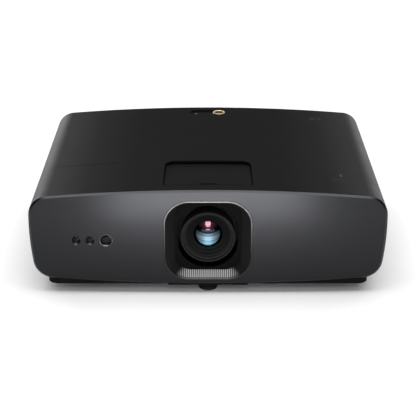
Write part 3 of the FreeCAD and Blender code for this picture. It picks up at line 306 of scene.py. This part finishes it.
def rubber(name, tone):
    """Matt rubber with a fine, uneven grain."""
    shader = Shader(name, (tone,) * 3, 0.72, specular=0.1)
    shader.vary_roughness(shader.noise(60.0, 4.0), 0.64, 0.82)
    shader.vary_color(shader.noise(35.0, 4.0), (tone * 0.85,) * 3, (tone * 1.4,) * 3)
    shader.bump(shader.noise(3200.0, 3.0), 0.4, 0.00005)
    return shader.material


def gloss_window(name, color):
    """Dark polished plastic with a slightly uneven tone."""
    shader = Shader(name, color, 0.12, specular=0.12)
    shader.vary_roughness(shader.noise(140.0, 4.0), 0.1, 0.18)
    shader.vary_color(shader.noise(60.0, 3.0), color, tuple(c * 1.5 for c in color))
    shader.bump(shader.noise(80.0, 2.0), 0.03, 0.00004)
    return shader.material


def circuit_board():
    """Green solder mask with a regular pattern of traces under it."""
    shader = Shader("circuit_board", (0.015, 0.085, 0.045), 0.35)
    traces = shader.add("ShaderNodeTexBrick")
    traces.inputs["Scale"].default_value = 160.0
    traces.inputs["Color1"].default_value = (0.012, 0.075, 0.038, 1)
    traces.inputs["Color2"].default_value = (0.020, 0.105, 0.055, 1)
    traces.inputs["Mortar"].default_value = (0.05, 0.16, 0.08, 1)
    shader.link(shader.place, traces.inputs["Vector"])
    shader.link(traces.outputs["Color"], shader.bsdf.inputs["Base Color"])
    shader.vary_roughness(shader.noise(300.0, 3.0), 0.28, 0.45)
    shader.bump(traces.outputs["Fac"], 0.2, 0.00004)
    return shader.material


def coated_glass_painted_reflections():
    """Coated front element with painted reflections: pink towards the top, dark at the horizon, blue and
    white with arcs below.
    """
    shader = Shader("coated_glass_painted_reflections", (0.01, 0.02, 0.03), 0.06, metallic=1.0)
    place = shader.axes(shader.place)
    radius = (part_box("front_lens")[1].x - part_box("front_lens")[0].x) / 2
    across = shader.math("DIVIDE", place["X"], radius)
    up = shader.math("DIVIDE", shader.math("SUBTRACT", place["Z"], LENS_Z), radius)
    bowed = shader.math("SUBTRACT", up, shader.math("MULTIPLY", shader.math("POWER", across, 2.0), 0.35))
    share = shader.math("MULTIPLY_ADD", bowed, 0.5, 0.5)
    # Painted reflections: arcs of blue and white below, a dark band at the horizon and a pink cap on top.
    blue_arcs = ((0.03, (0.10, 0.30, 0.42)), (0.11, (0.30, 0.66, 0.84)), (0.18, (0.36, 0.66, 0.84)),
                 (0.23, (0.12, 0.30, 0.44)), (0.28, (0.62, 0.80, 0.92)), (0.33, (0.26, 0.46, 0.62)),
                 (0.37, (0.60, 0.74, 0.84)), (0.43, (0.10, 0.26, 0.38)), (0.50, (0.16, 0.28, 0.36)))
    dark_band = ((0.56, (0.006, 0.008, 0.012)), (0.68, (0.012, 0.009, 0.012)))
    pink_cap = ((0.76, (0.42, 0.20, 0.28)), (0.86, (0.66, 0.29, 0.39)), (0.97, (0.44, 0.18, 0.26)))
    painted_reflection_tint = shader.ramp(share, *blue_arcs, *dark_band, *pink_cap)
    # The painted reflections fade towards the sides.
    fade = shader.ramp(shader.math("ABSOLUTE", across), (0.14, 0.88), (0.42, 0.38), (0.8, 0.08))
    mix = shader.add("ShaderNodeMix", data_type="RGBA", blend_type="MULTIPLY")
    mix.inputs["Factor"].default_value = 1.0
    shader.link(painted_reflection_tint, mix.inputs["A"])
    shader.link(fade, mix.inputs["B"])
    shader.link(mix.outputs["Result"], shader.bsdf.inputs["Base Color"])
    shader.vary_roughness(shader.noise(200.0, 3.0), 0.05, 0.09)
    # The lower half faces less steeply down than its shape does, as an inner surface would.
    facing = shader.axes(shader.add("ShaderNodeNewGeometry").outputs["Normal"])
    hollow = shader.math("MAXIMUM", facing["Z"], shader.math("MULTIPLY", facing["Z"], 0.3))
    bent = shader.add("ShaderNodeCombineXYZ")
    shader.link(facing["X"], bent.inputs["X"])
    shader.link(facing["Y"], bent.inputs["Y"])
    shader.link(hollow, bent.inputs["Z"])
    unit = shader.add("ShaderNodeVectorMath", operation="NORMALIZE")
    shader.link(bent.outputs["Vector"], unit.inputs[0])
    shader.link(unit.outputs["Vector"], shader.bsdf.inputs["Normal"])
    return shader.material


def printed_grey():
    """Faint print on the black cover."""
    shader = Shader("printed_grey", (0.055, 0.055, 0.057), 0.6, specular=0.1)
    shader.vary_color(shader.noise(900.0, 3.0), (0.04,) * 3, (0.07,) * 3)
    shader.vary_roughness(shader.noise(300.0, 3.0), 0.5, 0.7)
    return shader.material


def lit_lens(name, color, glow):
    """Small indicator lens, with an even glow when it is lit."""
    shader = Shader(name, color, 0.25)
    shader.vary_color(shader.noise(700.0, 2.0), tuple(c * 0.7 for c in color), color)
    shader.vary_roughness(shader.noise(400.0, 3.0), 0.18, 0.32)
    shader.set("Emission Color", (*color, 1.0))
    shader.set("Emission Strength", glow)
    return shader.material


MATERIALS = {
    "cover_black": cover_skin(),
    "case_black": moulded("case_black", 0.003, 0.60, 2000.0, specular=0.06),
    "fascia_metal": fascia_paint(),
    "trim_silver": bright_trim(),
    "recess_black": recess_liner(),
    "window_dark": gloss_window("window_dark", (0.005, 0.005, 0.0058)),
    "badge_gold": brushed("badge_gold", (0.50, 0.39, 0.22), 0.36, (1.0, 0.1, 1.0), 2600.0, 0.1),
    "lens_black": lens_finish(),
    "lens_glass": coated_glass_painted_reflections(),
    "grip_rubber": rubber("grip_rubber", 0.012),
    "knob_grey": moulded("knob_grey", 0.10, 0.42, 2400.0),
    "cast_metal": cast("cast_metal", (0.52, 0.53, 0.54), 0.42),
    "steel": brushed("steel", (0.46, 0.46, 0.47), 0.32, (1.0, 0.05, 1.0), 1600.0),
    "brass_part": brushed("brass_part", (0.72, 0.53, 0.26), 0.28, (1.0, 1.0, 0.05), 1600.0),
    "copper_part": brushed("copper_part", (0.72, 0.36, 0.22), 0.3, (0.05, 1.0, 1.0), 900.0),
    "fin_metal": brushed("fin_metal", (0.60, 0.61, 0.63), 0.36, (1.0, 1.0, 0.05), 900.0),
    "board_green": circuit_board(),
    "fan_plastic": moulded("fan_plastic", 0.018, 0.4, 2200.0),
    "key_grey": moulded("key_grey", 0.07, 0.4, 2600.0),
}
SHIFT_FRAME = cast("shift_frame", (0.014, 0.014, 0.015), 0.5)
PRINT = printed_grey()
BADGE_CREAM = brushed("badge_cream", (0.95, 0.80, 0.52), 0.42, (1.0, 1.0, 1.0), 900.0, 0.05)
BEZEL = brushed("bezel_metal", (0.15, 0.15, 0.154), 0.3, (1.0, 1.0, 1.0), 1500.0, 0.05)
CREAM = moulded("cream_print", 0.62, 0.4, 3000.0, 0.00002)
# Painted shadow: a near-black finish laid into the seam, the gaps beside the door and the finger slot.
GAP_SHADOW = moulded("seam_shadow", 0.0006, 0.8, 2600.0, specular=0.0)
CONTACT = brushed("contact_gold", (0.85, 0.62, 0.28), 0.22, (1.0, 0.05, 1.0), 1800.0)
LED_GREEN = lit_lens("led_green", (0.25, 0.85, 0.40), 0.6)
LED_AMBER = lit_lens("led_amber", (0.90, 0.45, 0.08), 0.0)


def dress_nodes():
    """Every carried-over node takes the material of its slot, and the shift frame is dark."""
    for row in frame["record"]["subparts"]:
        item = nodes[row["node"]]
        item.data.materials.clear()
        item.data.materials.append(MATERIALS[row["material_slot"]])
    for name in ("vertical_carriage", "horizontal_carriage", "shift_base_plate"):
        nodes[name].data.materials[0] = SHIFT_FRAME


# ---- mesh vocabulary --------------------------------------------------------------------------

def piece(name, shape, slot, body="housing", finish=None):
    """Turn a bmesh into a named object that rides on a body."""
    bmesh.ops.remove_doubles(shape, verts=shape.verts, dist=1e-7)
    bmesh.ops.recalc_face_normals(shape, faces=shape.faces)
    mesh = bpy.data.meshes.new(name)
    shape.to_mesh(mesh)
    shape.free()
    item = bpy.data.objects.new(name, mesh)
    scene.collection.objects.link(item)
    mesh.materials.append(finish or MATERIALS[slot])
    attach(item, body)


def revolve(shape, centre, axis, profile, steps=48):
    """Closed ring: profile points are (radius, distance along the axis), in mm from the centre."""
    rings = []
    for i in range(steps):
        turn = 2 * math.pi * i / steps
        ring = []
        for radius, along in profile:
            a = radius * math.cos(turn)
            b = radius * math.sin(turn)
            offset = {"Y": (a, along, b), "Z": (a, b, along)}[axis]
            ring.append(shape.verts.new(Vector(centre) + Vector(offset) * MM))
        rings.append(ring)
    for i, ring in enumerate(rings):
        following = rings[(i + 1) % steps]
        for j in range(len(profile)):
            k = (j + 1) % len(profile)
            face = shape.faces.new((ring[j], ring[k], following[k], following[j]))
            face.smooth = True


def prism(shape, outline, spot, low, high, chamfer=0.0):
    """Closed slab over an outline in mm: spot(u, v, w) gives the place of each point."""
    middle_u = sum(u for u, v in outline) / len(outline)
    middle_v = sum(v for u, v in outline) / len(outline)
    levels = [(0.0, low), (0.0, high - chamfer), (chamfer, high)] if chamfer else [(0.0, low), (0.0, high)]
    layers = []
    for inset, w in levels:
        layer = []
        for u, v in outline:
            reach = math.hypot(u - middle_u, v - middle_v)
            scale = (reach - inset) / reach
            inset_u = middle_u + (u - middle_u) * scale
            inset_v = middle_v + (v - middle_v) * scale
            layer.append(shape.verts.new(spot(inset_u, inset_v, w)))
        layers.append(layer)
    count = len(outline)
    for lower, upper in zip(layers, layers[1:]):
        for i in range(count):
            j = (i + 1) % count
            shape.faces.new((lower[i], lower[j], upper[j], upper[i]))
    shape.faces.new(list(reversed(layers[0])))
    shape.faces.new(layers[-1])


def rectangle(low_u, high_u, low_v, high_v):
    """Outline of a rectangle."""
    return [(low_u, low_v), (high_u, low_v), (high_u, high_v), (low_u, high_v)]


def oval(u, v, half_u, half_v, steps=20):
    """Outline of an ellipse."""
    turns = [2 * math.pi * i / steps for i in range(steps)]
    return [(u + half_u * math.cos(turn), v + half_v * math.sin(turn)) for turn in turns]


def bar(u, v, half_u, half_v):
    """Outline of a rounded bar."""
    corner = min(half_u, half_v) * 0.6
    spots = []
    for side_u, side_v, start in ((1, 1, 0), (-1, 1, 90), (-1, -1, 180), (1, -1, 270)):
        for angle in (start, start + 45, start + 90):
            bearing = math.radians(angle)
            spots.append((u + side_u * (half_u - corner) + corner * math.cos(bearing),
                          v + side_v * (half_v - corner) + corner * math.sin(bearing)))
    return spots


def arrow(u, v, size, bearing):
    """Outline of a plain triangle that points along a bearing in degrees."""
    corners = []
    for turn in (0, 120, 240):
        angle = math.radians(bearing + turn)
        corners.append((u + size * math.cos(angle), v + size * math.sin(angle)))
    return corners


def from_above(node):
    """A function that gives the place where a plumb line at x, y in mm first meets a node."""
    mesh = nodes[node].data
    corners = [vertex.co.copy() for vertex in mesh.vertices]
    skin = BVHTree.FromPolygons(corners, [tuple(face.vertices) for face in mesh.polygons])
    return lambda x, y: skin.ray_cast(Vector((x * MM, y * MM, 0.3)), Vector((0, 0, -1)))[0]


def on_rear(y):
    """Spots on a face that looks to the rear, w mm out from depth y."""
    return lambda u, v, w: Vector((u, y + w, v)) * MM


# ---- detail pieces ----------------------------------------------------------------------------

def sensor_bezels():
    """Bright chamfered rings in the mouths of the three front windows."""
    face_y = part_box("front_fascia")[0].y / MM
    shape = bmesh.new()
    for x, radius, lip in SENSOR_WINDOWS:
        profile = [(radius + lip, 0.0), (radius + lip - 0.05, -0.08), (radius + 0.15, -0.08),
                   (radius - 0.55, 0.75), (radius - 0.6, 1.5), (radius - 0.15, 1.5), (radius - 0.15, 0.0)]
        revolve(shape, Vector((x, face_y, SENSOR_Z)) * MM, "Y", profile)
    piece("sensor_bezels", shape, "fascia_metal", finish=BEZEL)


def third_window_collar():
    """Stepped collar inside the largest front window."""
    face_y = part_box("front_fascia")[0].y / MM
    shape = bmesh.new()
    centre = Vector((SENSOR_WINDOWS[2][0], face_y, SENSOR_Z)) * MM
    revolve(shape, centre, "Y", [(4.4, 0.9), (3.9, 0.75), (3.5, 1.0), (3.5, 1.65), (4.4, 1.8)])
    piece("sensor_window_collar", shape, "lens_black")


def badge_marks():
    """Raised rim, plate and plain dark studs on the badge in the rear window."""
    low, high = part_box("top_badge")
    centre = (low + high) / 2
    top = high.z

    def spot(u, v, w):
        return Vector((centre.x + u * MM, centre.y + v * MM, top + w * MM))
    shape = bmesh.new()
    revolve(shape, (centre.x, centre.y, top), "Z", BADGE_RIM, 64)
    piece("badge_rim", shape, "badge_gold", finish=BADGE_CREAM)
    shape = bmesh.new()
    prism(shape, oval(0, 0, 6.55, 6.55, 48), spot, -0.4, 0.8, 0.1)
    piece("badge_plate", shape, "badge_gold")
    shape = bmesh.new()
    for u in (-3.6, -1.2, 1.2, 3.6):
        prism(shape, oval(u, 0, 0.9, 1.7, 16), spot, 0.6, 1.1, 0.08)
    piece("badge_studs", shape, "badge_gold", finish=MATERIALS["case_black"])


def cover_marks():
    """Painted shadow along a faint seam and in dark lines beside the door, and small plain symbols on the
    right of the cover.
    """
    cover = from_above("top_cover")

    def spot(u, v, w):
        return cover(u, v) + Vector((0, 0, w * MM))
    shape = bmesh.new()
    for i in range(SEAM_PARTS):
        start = SEAM_START + SEAM_STEP * i
        outline = rectangle(start, start + SEAM_STEP, SEAM_Y - SEAM_HALF, SEAM_Y + SEAM_HALF)
        prism(shape, outline, spot, -0.2, 0.03)
    piece("cover_seam", shape, "cover_black", finish=GAP_SHADOW)
    shape = bmesh.new()
    for side in (-1, 1):
        inner, outer = (side * reach for reach in DOOR_GAP)
        for i in range(DOOR_GAP_PARTS):
            start = DOOR_GAP_START + DOOR_GAP_STEP * i
            prism(shape, rectangle(inner, outer, start, start + DOOR_GAP_STEP), spot, -0.2, 0.02)
    piece("door_gap_shadows", shape, "cover_black", finish=GAP_SHADOW)
    shape = bmesh.new()
    prism(shape, arrow(160, -92, 3.0, 90), spot, *SYMBOL_DEPTH)
    prism(shape, bar(160, -97, 0.7, 2.6), spot, *SYMBOL_DEPTH)
    for x in (152, 156, 160, 164):
        prism(shape, oval(x, -108, 1.1, 1.1), spot, *SYMBOL_DEPTH)
    for y in (112, 118):
        prism(shape, bar(142, y, 4.0, 0.7), spot, *SYMBOL_DEPTH)
    prism(shape, arrow(152, 115, 2.6, 0), spot, *SYMBOL_DEPTH)
    piece("cover_symbols", shape, "cover_black", finish=PRINT)


def finger_slot_painted_shade():
    """Dark sheet of painted shade that fills the door's finger slot up to 0.5 mm below its edge."""
    floor_z = from_above("lens_door")(0, (SLOT_FRONT + SLOT_BACK) / 2).z

    def spot(u, v, w):
        return Vector((u * MM, v * MM, floor_z + w * MM))
    shape = bmesh.new()
    prism(shape, rectangle(-SLOT_HALF, SLOT_HALF, SLOT_FRONT, SLOT_BACK), spot, -0.2, 1.0)
    piece("finger_slot_painted_shade", shape, "cover_black", "door", GAP_SHADOW)


def key_symbols():
    """Raised plain symbols: arrows on four keys, rings and bars on the others."""
    # The keys are read from behind, where +X is on the left.
    bearings = {"up": 90, "down": 270, "left": 0, "right": 180}
    for tag in ("ok", "up", "down", "left", "right", "power", "menu", "source"):
        low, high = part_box(f"{tag}_button")
        x = (low.x + high.x) / 2 / MM
        z = (low.z + high.z) / 2 / MM
        y = high.y / MM
        shape = bmesh.new()
        if tag in bearings:
            prism(shape, arrow(x, z, 1.7, bearings[tag]), on_rear(y), -0.5, 0.08, 0.05)
        elif tag == "menu":
            for offset in (-1.1, 0, 1.1):
                prism(shape, bar(x, z + offset, 1.5, 0.28), on_rear(y), -0.5, 0.08, 0.05)
        elif tag == "source":
            prism(shape, bar(x, z, 1.6, 1.1), on_rear(y), -0.5, 0.02, 0.05)
            prism(shape, arrow(x, z, 0.8, 180), on_rear(y), 0.0, 0.12, 0.04)
        else:
            centre = Vector((x, y, z)) * MM
            ring = [(1.7, -0.5), (1.7, 0.02), (1.6, 0.08), (1.3, 0.08), (1.2, 0.02), (1.2, -0.5)]
            revolve(shape, centre, "Y", ring)
            if tag == "power":
                prism(shape, bar(x, z + 1.3, 0.25, 0.9), on_rear(y), -0.5, 0.14, 0.05)
        piece(f"{tag}_key_symbol", shape, "key_grey", f"{tag}_key", finish=CREAM)


def screw_head(shape, x, z, y):
    """Pan head with a cross recess, looking to the rear."""
    revolve(shape, Vector((x, y, z)) * MM, "Y",
            [(3.0, 0.0), (2.95, 0.7), (2.5, 1.3), (1.7, 1.6), (1.45, 1.6), (1.2, 0.6), (1.2, 0.0)], 32)
    for turn in (45, 135, 225, 315):
        bearing = math.radians(turn)
        u = x + 1.0 * math.cos(bearing)
        v = z + 1.0 * math.sin(bearing)
        prism(shape, oval(u, v, 0.62, 0.62, 10), on_rear(y), 0.05, 1.45, 0.1)
    prism(shape, oval(x, z, 1.25, 1.25, 16), on_rear(y), 0.0, 0.5)


def rear_panel_screws():
    """Six screws that hold the rear panel."""
    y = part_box("rear_panel")[1].y / MM
    shape = bmesh.new()
    for x, z in ((-168.5, 36.5), (168.5, 36.5), (-168.5, 107.0), (168.5, 107.0), (92.0, 40.0), (92.0, 104.0)):
        screw_head(shape, x, z, y)
    piece("rear_panel_screws", shape, "steel")


def socket_contacts():
    """Gold contacts on the tongues, pins in the serial socket and collars round the jacks."""
    shape = bmesh.new()
    # low and high x, low and high z of each socket's mouth, and how many contacts it has
    tongues = ((-56, -41, 35.6, 41.6, 9), (-32, -17, 35.6, 41.6, 9),
               (-8, 5, 35.6, 42.4, 4), (13, 26, 35.6, 42.4, 4))
    margin = 3.4
    half_height = 0.68
    for low_x, high_x, low_z, high_z, count in tongues:
        middle = (low_z + high_z) / 2
        step = (high_x - low_x - 2 * margin) / (count - 1)
        half_width = step * 0.28
        for i in range(count):
            x = low_x + margin + step * i
            outline = rectangle(x - half_width, x + half_width, middle - half_height, middle + half_height)
            prism(shape, outline, on_rear(145.5), 0.0, 6.4, 0.15)
    for row, count in ((43.4, 5), (39.8, 4)):
        for i in range(count):
            x = SERIAL_X + 2.8 * (i - (count - 1) / 2)
            prism(shape, oval(x, row, 0.55, 0.55, 12), on_rear(154.0), 0.0, 1.2, 0.2)
    for x in JACK_XS:
        collar = [(3.6, -0.6), (3.6, 0.0), (3.3, 0.25), (2.3, 0.25), (1.95, -0.1), (1.95, -0.6)]
        revolve(shape, Vector((x, 155.1, JACK_Z)) * MM, "Y", collar)
    piece("socket_contacts", shape, "steel", finish=CONTACT)


def serial_socket_rim():
    """Metal rim of the serial socket, with its two hexagonal posts."""
    shape = bmesh.new()
    outer = bar(SERIAL_X, SERIAL_Z, 9.0, 4.6)
    inner = bar(SERIAL_X, SERIAL_Z, 8.2, 3.8)
    rim = []
    for outline, depth in ((outer, -0.4), (outer, 1.6), (inner, 1.6), (inner, -0.4)):
        rim.append([shape.verts.new(Vector((u, SERIAL_Y + depth, v)) * MM) for u, v in outline])
    for lower, upper in zip(rim, rim[1:] + rim[:1]):
        for i in range(len(outer)):
            j = (i + 1) % len(outer)
            shape.faces.new((lower[i], lower[j], upper[j], upper[i]))
    for side in (-1, 1):
        prism(shape, oval(SERIAL_X + side * 12.2, SERIAL_Z, 1.9, 1.9, 6), on_rear(SERIAL_Y), -0.2, 2.2, 0.3)
    piece("serial_socket_rim", shape, "steel")


def inlet_blades():
    """Nickel-plated sleeves over the inlet's three blades, with rounded ends."""
    shape = bmesh.new()
    for x, z in ((-157, 48.5), (-145, 48.5), (-151, 54)):
        prism(shape, bar(x, z, 1.12, 2.12), on_rear(137.2), 0.0, 9.2, 0.5)
    piece("inlet_blade_sleeves", shape, "steel")


def indicator_lights():
    """Three small indicator lenses above the keypad's lower row, and the one in the top window."""
    for tag, x, finish in (("power", 148, LED_GREEN), ("warm", 130, LED_AMBER), ("light", 112, LED_AMBER)):
        shape = bmesh.new()
        prism(shape, oval(x, INDICATOR_Z, 1.1, 1.1, 24), on_rear(KEYPAD_Y), -0.3, 0.35, 0.25)
        piece(f"{tag}_indicator", shape, "window_dark", finish=finish)
    shape = bmesh.new()
    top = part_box("sensor_windows")[1].z / MM

    def spot(u, v, w):
        return Vector((u, v, top + w)) * MM
    prism(shape, oval(-16.6, 130, 0.85, 0.85), spot, -1.0, -0.05, 0.2)
    piece("top_indicator", shape, "window_dark", finish=CREAM)


def wires(span, pitch):
    """Places of the wires across a span, a pitch apart."""
    low, high = span
    return [low + pitch * (i + 0.5) for i in range(int((high - low) / pitch))]


def screen(name, span_u, span_v, pitch, spot):
    """Fine square wire mesh in a raised frame."""
    half_wire = 0.24
    frame_half = 1.4
    shape = bmesh.new()
    for u in wires(span_u, pitch):
        prism(shape, rectangle(u - half_wire, u + half_wire, *span_v), spot, 0.0, 0.5, 0.1)
    for v in wires(span_v, pitch):
        prism(shape, rectangle(*span_u, v - half_wire, v + half_wire), spot, -0.42, 0.08, 0.1)
    middle_u, half_u = sum(span_u) / 2, (span_u[1] - span_u[0]) / 2
    middle_v, half_v = sum(span_v) / 2, (span_v[1] - span_v[0]) / 2
    for v in span_v:
        prism(shape, bar(middle_u, v, half_u + frame_half, frame_half), spot, -0.7, 0.7, 0.2)
    for u in span_u:
        prism(shape, bar(u, middle_v, frame_half, half_v + frame_half), spot, -0.65, 0.65, 0.2)
    piece(name, shape, "steel", finish=MATERIALS["case_black"])


def dust_screens():
    """Dust screens behind the side grilles and behind the slots of the rear panel."""
    low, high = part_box("left_side_grille")
    span_y = (low.y / MM + 5, high.y / MM - 5)
    span_z = (low.z / MM + 3, high.z / MM - 3)
    for tag, side in (("left", -1), ("right", 1)):
        def spot(u, v, w, side=side):
            return Vector((side * (203.6 + w), u, v)) * MM
        screen(f"{tag}_dust_screen", span_y, span_z, 2.6, spot)
    screen("rear_dust_screen", (-167.5, 71.0), (76.5, 105.0), 2.8, on_rear(149.6))


def rating_plate():
    """Blank foil plate under the case, with plain bars."""
    shape = bmesh.new()

    def spot(u, v, w):
        return Vector((u, v, UNDERSIDE_Z - w)) * MM
    prism(shape, bar(0, 40, 42, 17), spot, -0.05, 0.12, 0.06)
    piece("rating_plate", shape, "steel")
    shape = bmesh.new()
    for row in range(4):
        indent = row % 2
        prism(shape, bar(-8 + 3 * indent, 50 - 6.5 * row, 26 - 4 * indent, 0.9), spot, 0.05, 0.17, 0.04)
    piece("rating_plate_bars", shape, "case_black", finish=PRINT)


# ---- stage ------------------------------------------------------------------------------------

def stage():
    """Pale seamless floor that the object stands on."""
    mesh = bpy.data.meshes.new("floor")
    half = 30.0
    corners = [(u, v, 0) for u, v in rectangle(-half, half, -half, half)]
    mesh.from_pydata(corners, [], [(0, 1, 2, 3)])
    floor = bpy.data.objects.new("floor", mesh)
    scene.collection.objects.link(floor)
    shader = Shader("floor_paper", (0.88, 0.88, 0.88), 0.9, specular=0.1)
    shader.vary_color(shader.noise(3.0, 3.0), (0.87, 0.87, 0.87), (0.89, 0.89, 0.89))
    floor.data.materials.append(shader.material)


def softbox(name, place, look_at, size, watts):
    """Rectangular area light, hidden from the camera."""
    light = bpy.data.lights.new(name, "AREA")
    light.shape = "RECTANGLE"
    light.size, light.size_y = size
    light.energy = watts
    item = bpy.data.objects.new(name, light)
    item.location = place
    item.rotation_mode = "QUATERNION"
    item.rotation_quaternion = (Vector(look_at) - Vector(place)).to_track_quat("-Z", "Y")
    item.visible_camera = False
    scene.collection.objects.link(item)


def lights():
    """A large box and a strip overhead, three lights in front and four behind."""
    scene.view_settings.view_transform = "Standard"
    softbox("ceiling_box", (0, 0.15, 3.2), (0, 0.15, 0), (5.2, 4.3), 140)
    softbox("ceiling_strip", (0, -1.35, 2.9), (0, -0.15, 0.1), (3.0, 0.5), 28)
    softbox("front_fill", (0, -2.7, 2.2), (0, -0.2, 0.05), (2.6, 0.8), 21)
    softbox("face_glow", (0, -0.42, 0.035), (0, -0.15, 0.12), (0.28, 0.05), 0.46)
    softbox("lens_glint", (0, -2.3, 0.95), (0, -0.15, 0.07), (0.9, 0.8), 4.5)
    softbox("left_wing", (-1.5, 2.5, 0.5), (0, 0, 0.1), (1.5, 0.9), 10)
    softbox("right_wing", (1.5, 2.5, 0.5), (0, 0, 0.1), (1.2, 0.9), 5)
    softbox("left_high", (-2.2, 2.2, 1.25), (0, 0, 0.1), (1.2, 0.9), 12)
    softbox("right_high", (2.2, 2.2, 1.25), (0, 0, 0.1), (1.2, 0.9), 8)
    world = bpy.data.worlds.new("studio")
    world.use_nodes = True
    back = world.node_tree.nodes["Background"]
    back.inputs["Color"].default_value = (1, 1, 1, 1)
    back.inputs["Strength"].default_value = 0.105
    scene.world = world


def camera():
    """Long lens, in front of the object and a little above it."""
    data = bpy.data.cameras.new("camera")
    data.sensor_width = 36.0
    data.lens = 101.25
    item = bpy.data.objects.new("camera", data)
    item.location = (0, -1.4057, 0.6496)
    item.rotation_euler = (math.radians(66.8), 0, 0)
    scene.collection.objects.link(item)
    scene.camera = item


dress_nodes()
sensor_bezels()
third_window_collar()
badge_marks()
cover_marks()
finger_slot_painted_shade()
key_symbols()
rear_panel_screws()
socket_contacts()
serial_socket_rim()
inlet_blades()
indicator_lights()
dust_screens()
rating_plate()
stage()
lights()
camera()
